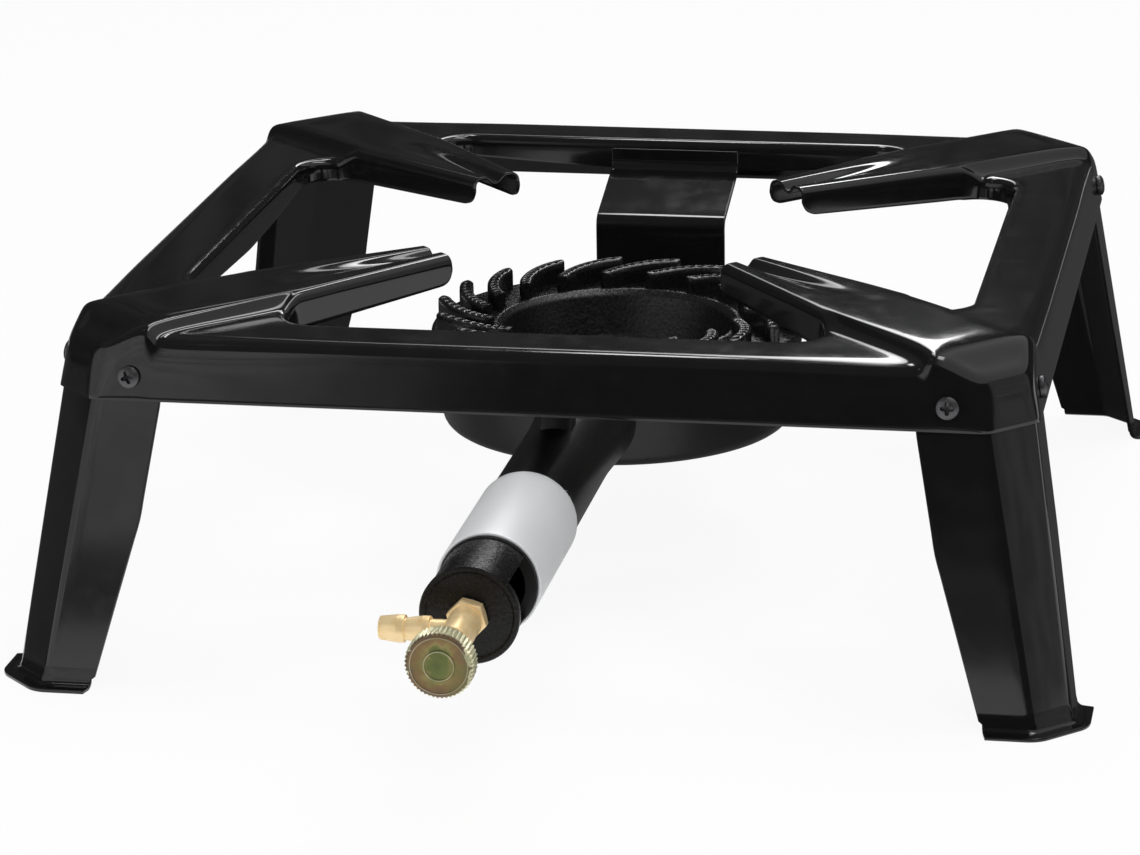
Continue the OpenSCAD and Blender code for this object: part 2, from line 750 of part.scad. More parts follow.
module gland_packing() place() color(FIBRE) along_tube()
    translate([0, 0, barrel_front - packing_h - gland_thread + fit]) difference() {
        cylinder(d = gland_bore - 2 * fit, h = packing_h - 2 * fit);
        translate([0, 0, -over]) spindle_bore(packing_h + 2 * over);
    }

module gland_nut() place() color(BRASS) along_tube() difference() {
    union() {
        translate([0, 0, barrel_front - gland_thread])
            cylinder(d = gland_bore - 2 * fit, h = gland_thread + over);
        translate([0, 0, barrel_front + fit]) cylinder(d = gland_flats / cos(30), h = gland_h - fit, $fn = 6);
    }
    translate([0, 0, barrel_front - gland_thread - over]) spindle_bore(gland_thread + gland_h + 2 * over);
}

module valve_spindle() place() color(BRASS) along_tube() {
    translate([0, 0, needle_base - needle_length])
        cylinder(d1 = 1, d2 = seat_bore - 2 * running, h = needle_length);
    translate([0, 0, needle_base]) cylinder(d = spindle_d, h = spindle_front - needle_base);
}

knob_hub_r = spindle_d / 2 + 4;
knurl = 1;         // side of the square cutter for a knurl
module knob() place() color(ZINC_YELLOW) along_tube() translate([0, 0, knob_back]) difference() {
    r = knob_d / 2;
    rotate_extrude() polygon([[0, 0], [knob_hub_r, 0], [knob_hub_r, 1.5], [r - 2.6, 2.5], [r - 1.2, 3.5],
        [r, 5], [r, knob_h - 2.6], [r - 1.4, knob_h - 0.6], [r - 3.2, knob_h], [r - 4, knob_h - 0.7],
        [r * 0.48, knob_h - 0.7], [r * 0.43, knob_h - 0.2], [0, knob_h - 0.2]]);
    for (k = [0:knurls - 1])
        rotate([0, 0, k * 360 / knurls])
            translate([r + knurl * 0.35, 0, -over]) rotate([0, 0, 45])
                cube([knurl, knurl, 2 * (knob_h - 1)], center = true);
    translate([0, 0, -over]) spindle_bore(knob_h - knob_face + over);
}

top_frame();
leg_front_left();
leg_front_right();
leg_rear_left();
leg_rear_right();
leg_screws();
leg_nuts();
rear_bracket();
burner_casting();
burner_crown();
burner_bolt();
burner_washer();
burner_nut();
front_hanger();
hanger_screw();
air_shutter();
lock_nut();
valve_body();
injector_jet();
gland_packing();
gland_nut();
valve_spindle();
knob();
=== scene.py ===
"""Looks of a propane burner stand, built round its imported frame."""

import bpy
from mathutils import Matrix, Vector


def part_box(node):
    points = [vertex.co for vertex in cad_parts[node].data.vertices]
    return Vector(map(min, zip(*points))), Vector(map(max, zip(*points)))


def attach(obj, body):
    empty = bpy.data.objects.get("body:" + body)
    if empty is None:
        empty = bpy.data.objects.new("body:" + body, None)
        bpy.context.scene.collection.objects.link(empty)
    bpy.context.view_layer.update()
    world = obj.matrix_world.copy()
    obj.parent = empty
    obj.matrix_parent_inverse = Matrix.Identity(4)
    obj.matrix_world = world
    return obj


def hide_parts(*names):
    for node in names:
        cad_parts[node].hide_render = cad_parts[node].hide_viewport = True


bl_info = {
    "name": "Propane burner stand",
    "version": (1, 0, 0),
    "blender": (4, 5, 0),
    "location": "3D View > Sidebar > Burner Stand",
    "description": "Pressed stand, swirl burner, air shutter and needle valve",
    "category": "Object",
}

import math

import bmesh
import bpy
import numpy as np
from mathutils import Matrix, Vector

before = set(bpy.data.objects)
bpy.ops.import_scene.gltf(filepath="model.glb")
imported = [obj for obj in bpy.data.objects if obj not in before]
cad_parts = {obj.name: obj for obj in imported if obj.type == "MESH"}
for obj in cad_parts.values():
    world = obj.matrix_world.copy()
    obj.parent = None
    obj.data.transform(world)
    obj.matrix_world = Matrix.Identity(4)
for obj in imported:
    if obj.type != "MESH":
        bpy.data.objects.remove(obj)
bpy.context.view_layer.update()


ROOT2 = math.sqrt(2)
UP = np.array([0.0, 0.0, 1.0])
CROWN_LOW, CROWN_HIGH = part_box("burner_crown")
AXIS_Y = (CROWN_LOW[1] + CROWN_HIGH[1]) / 2

# ---- sizes and colours a user may change ------------------------------------------------


def length(name, mm, about):
    """A length property, given in millimetres."""
    return bpy.props.FloatProperty(
        name=name, description=about, default=mm / 1000, min=0.0, unit="LENGTH", precision=4)


def number(name, value, least, about):
    """A whole-number property."""
    return bpy.props.IntProperty(name=name, description=about, default=value, min=least)


def colour(name, rgb, about):
    """A colour property."""
    return bpy.props.FloatVectorProperty(
        name=name, description=about, default=rgb, size=3, min=0, max=1, subtype="COLOR")


class StandSizes(bpy.types.PropertyGroup):
    """Sizes of the pressed frame and its legs"""

    rail_top: length("Rail top", 148, "Height of the flat rails")
    pad_top: length("Support top", 154, "Height of the pot supports")
    skirt_bottom: length("Skirt bottom", 122, "Height of the skirt's lower edge")
    skirt_half: length("Skirt half width", 206, "Half the width at the skirt's lower edge")
    sheet: length("Sheet", 1.6, "Thickness of the pressed sheet")
    opening_half: length("Opening half width", 170, "Half the width between the rails")
    beam_tip: length("Support tip", 97, "Distance of a support's tip from the centre")
    beam_half: length("Support half width", 12.9, "Half the width of a support at its tip")
    foot_lip: length("Foot lip", 6.75, "Width of the lip turned out at the foot")


class BurnerSizes(bpy.types.PropertyGroup):
    """Sizes of the burner, its tube and the valve"""

    base: length("Underside", 60, "Height of the burner's underside")
    foot_r: length("Underside radius", 79, "Radius of the burner's underside")
    crown_r: length("Crown radius", 84, "Radius of the burner at its crown")
    tube_r: length("Tube radius", 19.25, "Outer radius of the mixer tube")
    tube_reach: length("Tube reach", 337.5, "From the burner's axis to the tube's closed end")
    vanes: number("Vanes", 18, 3, "Number of swirl vanes")
    ports: number("Ports", 9, 1, "Number of flame ports in a vane")
    knurls: number("Knurls", 48, 6, "Number of knurls round the knob")


class StandColours(bpy.types.PropertyGroup):
    """Colours of the finishes"""

    enamel: colour("Enamel", (0.0045, 0.0045, 0.005), "Glossy enamel of the stand")
    cast: colour("Casting", (0.0065, 0.0062, 0.006), "Painted casting")
    silver: colour("Shutter", (0.80, 0.81, 0.82), "Sheet of the air shutter")
    brass: colour("Brass", (1.0, 0.77, 0.43), "Brass of the valve")
    zinc: colour("Knob", (0.80, 0.77, 0.52), "Passivated zinc of the knob")
    screw: colour("Fasteners", (0.1, 0.1, 0.104), "Blackened steel")


def sizes():
    return bpy.context.scene.stand_sizes


def burner():
    return bpy.context.scene.burner_sizes


def colours():
    return bpy.context.scene.stand_colours


def mm(value):
    """A stored length in millimetres."""
    return value * 1000


TUBE_RISE, BOWL_HIGH = 22.0, 40.0  # of the tube's axis and the bowl's rim, over the underside
LUG_REACH, LUG_HALF, LUG_HIGH = 148.0, 6.75, 27.0  # its height is over the tube's axis
SCREW_RISE, SCREW_ACROSS = 132.0, 170.0
STRAP_SHEET = 2.0
FIT = 0.05  # room between pieces that touch


def tube_axis():
    """Height of the tube's axis."""
    return mm(burner().base) + TUBE_RISE


# ---- meshes from arrays -----------------------------------------------------------------


def mix(a, b, t):
    """a at t = 0, b at t = 1, and a straight line between them."""
    return a + (b - a) * t


def ease(t):
    """0 to 1 with level ends: 3t^2 - 2t^3."""
    t = np.clip(t, 0, 1)
    return t * t * (3 - 2 * t)


def with_height(xy, z):
    """Points of a plan at height z, which may differ from point to point."""
    return np.concatenate([xy, np.broadcast_to(z, xy.shape[:-1])[..., None]], axis=-1)


def grid_faces(rows, columns, wrap=False):
    """Quads of a grid of points, rows by columns; wrap joins the last column to the first."""
    index = np.arange(rows * columns).reshape(rows, columns)
    if wrap:
        index = np.concatenate([index, index[:, :1]], axis=1)
    a, b, c, d = index[:-1, :-1], index[:-1, 1:], index[1:, 1:], index[1:, :-1]
    return np.stack([a, b, c, d], axis=-1).reshape(-1, 4)


def grid(points, wrap=False):
    """A grid of points with its quads."""
    return points.reshape(-1, 3), grid_faces(*points.shape[:2], wrap=wrap)


def joined(parts):
    """Several (points, faces) pairs as one."""
    points, faces, start = [], [], 0
    for p, f in parts:
        p = np.asarray(p, float).reshape(-1, 3)
        points.append(p)
        faces.append(np.asarray(f) + start)
        start += len(p)
    return np.concatenate(points), np.concatenate(faces)


def welded(points, faces, step=0.002):
    """Points closer than step become one, and faces that lose a corner become triangles."""
    key = np.round(points / step).astype(np.int64)
    _, first, back = np.unique(key, axis=0, return_index=True, return_inverse=True)
    faces = back.reshape(-1)[faces]
    same = faces == np.roll(faces, -1, axis=1)
    lost = same.sum(axis=1)
    quads = faces[lost == 0]
    triangles = faces[lost == 1][~same[lost == 1]].reshape(-1, 3)
    return points[first], quads, triangles


def relaxed(points, quads, triangles, weight, rounds=7):
    """Each point moves towards the mean of its neighbours, by its weight, a few rounds over."""
    sides = [quads[:, [k, (k + 1) % 4]] for k in range(4)]
    sides += [triangles[:, [k, (k + 1) % 3]] for k in range(3)]
    edges = np.concatenate(sides)
    edges = np.concatenate([edges, edges[:, ::-1]])
    count = np.bincount(edges[:, 0], minlength=len(points))[:, None]
    for _ in range(rounds):
        total = np.zeros_like(points)
        np.add.at(total, edges[:, 0], points[edges[:, 1]])
        points = points + weight[:, None] * (total / count - points)
    return points


def placed(points):
    """Millimetres from the burner's axis to metres in the row's frame."""
    return np.asarray(points, float).reshape(-1, 3) / 1000 + [0, AXIS_Y, 0]


def finish_mesh(thing, sharp):
    """Smooth faces with hard edges only where they meet at more than sharp degrees."""
    thing.data.polygons.foreach_set("use_smooth", np.ones(len(thing.data.polygons), bool))
    thing.data.set_sharp_from_angle(angle=math.radians(sharp))


def applied(thing):
    """Puts the result of a piece's modifiers into its mesh."""
    graph = bpy.context.evaluated_depsgraph_get()
    mesh = bpy.data.meshes.new_from_object(thing.evaluated_get(graph))
    thing.modifiers.clear()
    old = thing.data
    thing.data = mesh
    mesh.name = thing.name
    bpy.data.meshes.remove(old)


def facing_out(mesh, upward):
    """Makes the faces of a mesh agree, and an open sheet face upward."""
    work = bmesh.new()
    work.from_mesh(mesh)
    bmesh.ops.recalc_face_normals(work, faces=work.faces[:])
    if upward is not None:
        work.normal_update()
        lean = sum((f.normal.dot(upward) * f.calc_area() for f in work.faces), 0.0)
        if lean < 0:
            bmesh.ops.reverse_faces(work, faces=work.faces[:])
    work.to_mesh(mesh)
    work.free()


def piece(name, shape, material, body, nodes=(), wall=0.0, edge=0.0, smooth=0,
          upward=None, sharp=38, soften=None):
    """Makes a piece from points and faces in millimetres. wall is a sheet's thickness, laid
    to its inner side, edge the rounding of its cut edges, smooth the subdivisions, and soften
    a function that says how strongly each point is relaxed."""
    points, quads, triangles = welded(*shape)
    if soften:
        points = relaxed(points, quads, triangles, soften(points))
    mesh = bpy.data.meshes.new(name)
    mesh.from_pydata(placed(points).tolist(), [], quads.tolist() + triangles.tolist())
    mesh.update()
    facing_out(mesh, upward)
    thing = bpy.data.objects.new(name, mesh)
    bpy.context.scene.collection.objects.link(thing)
    if smooth:
        m = thing.modifiers.new("Smooth", "SUBSURF")
        m.levels = m.render_levels = smooth
    if wall:
        m = thing.modifiers.new("Wall", "SOLIDIFY")
        m.thickness, m.offset, m.use_even_offset = wall / 1000, -1, True
    if edge:
        m = thing.modifiers.new("Edge", "BEVEL")
        m.width, m.segments, m.limit_method = edge / 1000, 2, "ANGLE"
        m.angle_limit = math.radians(50)
    if smooth or wall or edge:
        applied(thing)
    finish_mesh(thing, sharp)
    thing.data.materials.clear()
    thing.data.materials.append(material)
    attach(thing, body)
    if nodes:
        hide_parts(*nodes)
    return thing


def rings(radius, height, a):
    """Rings about Z at angles a: (r cos a, r sin a, h), r by ring and angle, h by ring."""
    height = np.broadcast_to(np.asarray(height, float)[:, None], radius.shape)
    return grid(np.stack([radius * np.cos(a), radius * np.sin(a), height], axis=-1), wrap=True)


def lathe(profile, steps=96):
    """A profile of (radius, height) points turned about Z."""
    profile = np.asarray(profile, float)
    a = np.linspace(0, 2 * np.pi, steps, endpoint=False)
    return rings(np.repeat(profile[:, :1], steps, 1), profile[:, 1], a)


def rounded_path(points, radius, steps=5):
    """A polyline whose inner corners become arcs of radius, tangent to both legs."""
    p = np.asarray(points, float)
    radius = np.broadcast_to(radius, len(p))
    out = [p[:1]]
    for i in range(1, len(p) - 1):
        u, w = p[i - 1] - p[i], p[i + 1] - p[i]
        lu, lw = np.linalg.norm(u), np.linalg.norm(w)
        u, w = u / lu, w / lw
        half = math.acos(np.clip(u @ w, -1, 1)) / 2
        reach = min(radius[i] / math.tan(half), 0.49 * lu, 0.49 * lw)
        if reach < 1e-6:
            out.append(p[i : i + 1])
            continue
        r = reach * math.tan(half)
        centre = p[i] + (u + w) / np.linalg.norm(u + w) * r / math.sin(half)
        start, end = p[i] + u * reach - centre, p[i] + w * reach - centre
        turn = math.acos(np.clip(start @ end / r / r, -1, 1))
        t = np.linspace(0, 1, steps + 1)[:, None]
        bow = np.sin((1 - t) * turn) * start + np.sin(t * turn) * end
        out.append(centre + bow / math.sin(turn))
    out.append(p[-1:])
    return np.concatenate(out)


def rounded_profile(corners, steps):
    """A rounded path from (radius, height, rounding) triples."""
    corners = np.asarray(corners, float)
    return rounded_path(corners[:, :2], corners[:, 2], steps)


def turned(shape, matrix, shift=(0, 0, 0)):
    """A shape turned by a matrix and then shifted."""
    points, faces = shape
    return np.asarray(points).reshape(-1, 3) @ np.asarray(matrix, float).T + shift, faces


TO_FRONT = np.array([[1, 0, 0], [0, 0, -1], [0, 1, 0]])  # +Z to -Y
TO_LEFT = np.array([[0, 0, -1], [0, 1, 0], [1, 0, 0]])  # +Z to -X


def on_axis(shape):
    """A shape made along +Z, laid along the tube's axis towards the front."""
    return turned(shape, TO_FRONT, (0, 0, tube_axis()))


def about_z(degrees):
    """The matrix of a turn about Z."""
    c, s = math.cos(math.radians(degrees)), math.sin(math.radians(degrees))
    return np.array([[c, -s, 0], [s, c, 0], [0, 0, 1]])


# ---- pressed frame ----------------------------------------------------------------------
# One eighth of the frame is worked out, between the middle of a side and its corner: x runs
# along the side, n out from the centre, r along the corner's diagonal and w across it.

LEAN = math.tan(math.radians(8.8))  # the skirt comes in by this much for each unit of height
SKIRT_BEND, CORNER_CUT = 7.0, 19.5
ROLL, SHOULDER, FILLET = 4.0, 7.0, 16.0
SHOULDER_REACH = SHOULDER * 0.988
FOOT_LIFT, CREASE_DROP, CORNER_DROP = 0.15, 0.25, 2.4
FOOT_TURN = -38.0  # degrees round the fillet at which the support's foot starts
SUPPORT_SPREAD = 0.136  # a support's half width grows by this much for each unit of length
GROOVE_DEEP, GROOVE_LONG = 3.4, 88.0
PAD_END, PAD_FOOT = 255.0, 7.0
TIP_ROUND = 6.0
WALL_FLARE = 0.4
RAIL, FAN, SIDE, ACROSS, BEAM, HALF, FALL = 8, 12, 8, 8, 22, 8, 7  # divisions of the grids
BEND_STEPS, DROP_STEPS, ROLL_STEPS, WALL_STEPS = 5, 5, 4, 3


def to_xn(r, w):
    """Turns a place along and across the diagonal by 45 degrees into one along and out from a
    side."""
    return np.stack([(r - w) / ROOT2, (r + w) / ROOT2], axis=-1)


def skirt_n(z):
    """Distance of the leaning skirt from the centre at height z."""
    return mm(sizes().skirt_half) - (z - mm(sizes().skirt_bottom)) * LEAN


def corner_outline(half, cut, bend):
    """Outline of the corner: where the bend starts, the bend's first half, and its second
    half with the facet up to the diagonal."""
    start_x = half - cut + bend * (1 - ROOT2)
    centre = np.array([start_x, half - bend])

    def arc(a, b):
        t = np.radians(np.linspace(a, b, 4))
        return centre + bend * np.stack([np.cos(t), np.sin(t)], axis=-1)

    end = arc(67.5, 45)
    facet = np.linspace(end[-1], np.full(2, half - cut / 2), 4)
    return start_x, arc(90, 67.5), np.concatenate([end[:-1], facet])


def spaced(path, count):
    """A polyline sampled at equal steps of its length."""
    step = np.concatenate([[0], np.cumsum(np.linalg.norm(np.diff(path, axis=0), axis=1))])
    t = np.linspace(0, step[-1], count + 1)
    return np.stack([np.interp(t, step, path[:, k]) for k in range(path.shape[1])], axis=-1)


class Sector:
    """One eighth of the pressing. The top is made of straight lines from the opening's edge
    to the shoulder; the shoulder and the roll of the lip are quarter rounds carried along
    those two edges, and skirt and lip hang from them."""

    def __init__(self):
        s = sizes()
        self.rail, self.pad, self.low = mm(s.rail_top), mm(s.pad_top), mm(s.skirt_bottom)
        self.opening, self.tip = mm(s.opening_half), mm(s.beam_tip)
        self.crease = self.pad - CREASE_DROP
        self.spread = math.atan(SUPPORT_SPREAD)
        self.wall_start = mm(s.beam_half) - ROLL / math.cos(self.spread)
        self.bend_drop = SHOULDER - SHOULDER * math.sin(math.atan(LEAN))
        self.shoulder = skirt_n(self.rail - self.bend_drop) - SHOULDER_REACH
        inset = skirt_n(self.rail - SHOULDER) - self.shoulder
        self.start_x, self.side, self.end = corner_outline(
            self.shoulder, CORNER_CUT - inset * (2 - ROOT2), SKIRT_BEND - inset)
        self.pad_x = PAD_END * ROOT2 - self.shoulder

    def opening_edge(self):
        """The opening's edge inside its roll, and the way the roll faces there: along the
        rail, then round the fillet, which touches both the rail's line and the support's.
        Its end, where the support's wall starts, comes first."""
        reach = FILLET + ROLL
        rail_line = (self.opening + ROLL) * ROOT2
        centre_r = (rail_line - reach * ROOT2 - self.wall_start + SUPPORT_SPREAD * self.tip
                    - reach / math.cos(self.spread)) / (1 + SUPPORT_SPREAD)
        centre_w = rail_line - reach * ROOT2 - centre_r
        foot_turn = math.radians(FOOT_TURN)
        fan = np.linspace(math.radians(45), foot_turn, FAN + 1)
        strip = np.linspace(foot_turn, self.spread - math.pi / 2, SIDE + 1)[1:]
        turns = np.concatenate([fan, strip])
        way = np.stack([np.cos(turns), np.sin(turns)], axis=-1)
        arc = way * reach + [centre_r, centre_w]
        arc_xn = to_xn(arc[:, 0], arc[:, 1])
        rail_x = np.linspace(0, arc_xn[0, 0], RAIL + 1)[:-1]
        rail = np.stack([rail_x, np.full(RAIL, self.opening + ROLL)], axis=-1)
        facing = np.concatenate([np.tile([0.0, -1.0], (RAIL, 1)), to_xn(-way[:, 0], -way[:, 1])])
        return arc[-1], np.concatenate([rail, arc_xn]), facing

    def top(self, edge):
        """Straight lines from the opening's edge to the shoulder: level along the rail, then
        rising beside the support from its foot to the pad's crease."""
        rail_x = edge[:RAIL, 0] * 1.06
        foot_x = self.pad_x - PAD_FOOT
        fan_x = mix(rail_x[-1], foot_x, np.linspace(0, 1, FAN + 2)[1:] ** 0.9)
        side_x = np.linspace(foot_x, self.pad_x, SIDE + 1)[1:]
        outer_x = np.concatenate([rail_x, fan_x, side_x])
        outer = np.stack([outer_x, np.full(len(outer_x), self.shoulder)], axis=-1)
        rise = mix(self.rail + FOOT_LIFT, self.crease, ease(np.arange(SIDE + 1) / SIDE))
        level = np.concatenate([np.full(RAIL + FAN, self.rail), rise])
        t = np.linspace(0, 1, ACROSS + 1)[:, None, None]
        return with_height(mix(edge[None], outer[None], t), level[None])

    def support(self, edge_end):
        """Half of a support's plate, from its tip to the fillet and on to the pad's end. A
        groove runs in from the tip along its middle, and its edge drops to the crease."""
        beam_r = mix(self.tip, edge_end[0], np.linspace(0, 1, BEAM + 1) ** 1.4)
        beam_w = self.wall_start + SUPPORT_SPREAD * (beam_r - self.tip)
        pad_end = np.array([PAD_END, self.shoulder * ROOT2 - PAD_END])
        pad_line = mix(edge_end, pad_end, np.linspace(0, 1, ACROSS + 1)[1:, None])
        r = np.concatenate([beam_r, pad_line[:, 0]])[:, None]
        share = np.linspace(0, 1, HALF + 1)[None]
        w = np.concatenate([beam_w, pad_line[:, 1]])[:, None] * share
        groove = ease(1 - (r - self.tip) / GROOVE_LONG) * (1 - ease((share - 0.04) / 0.5))
        drop = ease((r - edge_end[0] + 25) / 25) * ease((share - 0.8) / 0.2)
        z = self.pad - GROOVE_DEEP * groove - (self.pad - self.crease) * drop
        return with_height(to_xn(r + 0 * w, w), z)

    def corner(self, plate):
        """The slope from the pad's end down to the corner's facet: a patch blended from its
        four edges, which falls evenly."""
        outer = spaced(np.concatenate([[[self.pad_x, self.shoulder]], self.side]), FALL)
        end = spaced(self.end, HALF)[::-1]
        start = plate[-1, :, :2]
        a = np.linspace(0, 1, FALL + 1)[:, None, None]
        b = np.linspace(0, 1, HALF + 1)[None, :, None]
        axis = mix(start[:1], end[:1], a)
        corners = mix(mix(start[0], start[-1], b), mix(end[0], end[-1], b), a)
        patch = mix(start[None], end[None], a) + mix(axis, outer[:, None], b) - corners
        return with_height(patch, mix(plate[-1, :, 2], self.rail - CORNER_DROP, a[..., 0]))

    def skirt(self, top, corner):
        """Shoulder and skirt, carried along the whole outer edge."""
        edge = np.concatenate([top[-1], corner[1:, -1], corner[-1, -2::-1]])
        skirt_top = edge[:, 2] - self.bend_drop
        base_half = skirt_n(self.rail - SHOULDER)
        start_x, side, end = corner_outline(base_half, CORNER_CUT, SKIRT_BEND)
        scale = start_x / self.start_x
        straight = np.stack([top[-1, :, 0] * scale, np.full(len(top[-1]), base_half)], axis=-1)
        bend = spaced(np.concatenate([[[self.pad_x * scale, base_half]], side]), FALL)[1:]
        base = np.concatenate([straight, bend, spaced(end, HALF)[1:]])
        spread = np.stack([np.minimum(base[:, 0] / start_x, 1), np.ones(len(base))], axis=-1)

        def outline_at(z):
            return base + (skirt_n(z) - base_half)[:, None] * spread

        rows = []
        end_angle = math.pi / 2 - math.atan(LEAN)
        for angle in np.linspace(0, end_angle, BEND_STEPS + 1):
            out = math.sin(angle) / math.sin(end_angle)
            z = edge[:, 2] - SHOULDER + SHOULDER * math.cos(angle)
            rows.append(with_height(mix(edge[:, :2], outline_at(skirt_top), out), z))
        for t in np.linspace(0, 1, DROP_STEPS + 1)[1:]:
            z = mix(skirt_top, self.low, t)
            rows.append(with_height(outline_at(z), z))
        return np.stack(rows)[:, ::-1]

    def lip(self, top, plate, facing):
        """Roll and wall, carried along the opening's edge and the support to its rounded tip."""
        rim = np.concatenate([top[0], plate[BEAM - 1 :: -1, -1]])
        wall_facing = to_xn(-math.sin(self.spread), math.cos(self.spread))
        facing = np.concatenate([facing, np.tile(wall_facing, (BEAM, 1))])
        r = (rim[:, 0] + rim[:, 1]) / ROOT2
        near_tip = np.clip(1 - (r - self.tip) / TIP_ROUND, 0, 1)
        beam_deep = np.interp(r, [self.tip, 172, 200], [12.5, 15.5, 16.2])
        beam_low = self.pad - beam_deep + TIP_ROUND * (1 - np.sqrt(1 - near_tip**2))
        rail_low = self.rail - np.interp(rim[:, 0], [0, 60, 100], [15, 13, 10.2])
        bottom = np.where(np.arange(len(rim)) >= len(top[0]) - 1, beam_low, rail_low)
        rows = []
        for angle in np.linspace(0, math.pi / 2, ROLL_STEPS + 1):
            z = rim[:, 2] - ROLL + ROLL * math.cos(angle)
            rows.append(with_height(rim[:, :2] + facing * ROLL * math.sin(angle), z))
        for t in np.linspace(0, 1, WALL_STEPS + 1)[1:]:
            z = mix(rim[:, 2] - ROLL, bottom, t)
            rows.append(with_height(rim[:, :2] + facing * (ROLL + WALL_FLARE * t), z))
        return np.stack(rows)

    def grids(self):
        """The five grids that make up the sector."""
        edge_end, edge, facing = self.opening_edge()
        top = self.top(edge)
        plate = self.support(edge_end)
        corner = self.corner(plate)
        return [top, plate, corner, self.skirt(top, corner), self.lip(top, plate, facing)]


def pressed_softness(points):
    """How strongly the press rounds the sheet: fully towards the corners, and not at all by
    the opening or at the skirt's lower edge."""
    r = (np.abs(points[:, 0]) + np.abs(points[:, 1])) / ROOT2
    low = mm(sizes().skirt_bottom)
    return 0.5 * ease((r - 196) / 44) * ease((points[:, 2] - low - 1) / 10)


def eightfold(grids):
    """The eight turned and mirrored copies of a sector: (x, n) to (x, -n), then quarter turns."""
    parts = []
    for quarter in range(4):
        for hand in (1, -1):
            for g in grids:
                points, faces = grid(np.stack([hand * g[..., 0], -g[..., 1], g[..., 2]], axis=-1))
                shape = points, faces if hand > 0 else faces[:, ::-1]
                parts.append(turned(shape, about_z(90 * quarter)))
    return joined(parts)


# ---- legs -------------------------------------------------------------------------------

EDGE_TOP, EDGE_KNEE, EDGE_FOOT = 157.0, 166.0, 187.0  # a flange's inner edge, from the middle
KNEE_Z, KNEE_SOFT = 72.0, 9.0
FOOT_ROLL, FOOT_CUT = 2.6, 15.3
EDGE_STRIP = 0.6  # a narrow strip beside a cut edge keeps the flat next to it shading flat


def leg_edge(z):
    """Place of a flange's inner edge: upright behind the skirt, then slanting out to a softly
    rounded knee and on to the foot."""
    base = mm(sizes().skirt_bottom)
    upper = mix(EDGE_TOP, EDGE_KNEE, max(base - z, 0) / (base - KNEE_Z))
    lower = mix(EDGE_KNEE, EDGE_FOOT, (KNEE_Z - z) / KNEE_Z)
    return mix(lower, upper, ease((z - KNEE_Z + KNEE_SOFT) / (2 * KNEE_SOFT)))


def leg_sheet():
    """One leg about the diagonal of the corner at +x +y: an open path of flange, bend, facet,
    bend, flange at each height, with the foot rolled out into a lip."""
    s = sizes()
    sheet = mm(s.sheet)
    gap = sheet + FIT
    base = mm(s.skirt_bottom)
    foot_top = FOOT_ROLL + sheet
    foot_half = skirt_n(0.0) - gap - foot_top * LEAN * 0.5

    def section(z, out):
        """The path at height z, moved outwards by out."""
        half = skirt_n(z) - gap if z > foot_top else foot_half
        cut = mix(FOOT_CUT, CORNER_CUT - gap * (2 - ROOT2), min(1, z / base))
        inner = leg_edge(z) + 0.25 * out
        half, cut, r = half + out, cut + out * (2 - ROOT2), SKIRT_BEND - gap + out
        start = half - cut + r * (1 - ROOT2)
        a = np.radians(np.linspace(90, 45, 7))
        arc = np.stack([start + r * np.cos(a), half - r + r * np.sin(a)], axis=-1)
        x = np.concatenate([[inner], np.linspace(inner + EDGE_STRIP, start, 8)])
        flange = np.stack([x, np.full(len(x), half)], axis=-1)
        first = np.concatenate([flange[:-1], arc, np.full((1, 2), half - cut / 2)])
        return np.concatenate([first, first[-2::-1, ::-1]])

    top = mm(s.rail_top) - SHOULDER
    heights = [np.linspace(top, base + 1, 4), np.linspace(base - 3, foot_top + 1, 30)]
    rows = [with_height(section(z, 0), z) for z in np.concatenate(heights)]
    for angle in np.linspace(0, math.pi / 2, 6):
        out = FOOT_ROLL * (1 - math.cos(angle))
        rows.append(with_height(section(0, out), foot_top - FOOT_ROLL * math.sin(angle)))
    reach = skirt_n(0.0) - gap + mm(s.foot_lip) - section(0, 0)[:, 1].max()
    for out in np.linspace(FOOT_ROLL, reach, 4)[1:]:
        rows.append(with_height(section(0, out), sheet))
    return grid(np.stack(rows))


# ---- small turned things ----------------------------------------------------------------


def hexagon(flats, low, high, bore, steps=96):
    """A bored hexagonal prism along Z: its radius is the lesser of the hexagon's own,
    flats / (2 cos(a mod 60 - 30)), and a cone that takes its corners off at each end."""
    a = np.linspace(0, 2 * np.pi, steps, endpoint=False)
    hexa = flats / 2 / np.cos(np.radians(np.degrees(a) % 60 - 30))
    full = flats / 2 / math.cos(math.radians(30))
    depth = flats * 0.072
    heights = np.concatenate([np.linspace(low, low + depth, 5), np.linspace(high - depth, high, 5)])
    near_end = np.clip(1 - np.minimum(heights - low, high - heights) / depth, 0, 1)
    cone = full - (full - flats / 2 * 0.96) * near_end
    inner = np.full((1, steps), bore)
    radius = np.concatenate([inner, np.minimum(hexa[None], cone[:, None]), inner, inner])
    return rings(radius, [low, *heights, high, low], a)


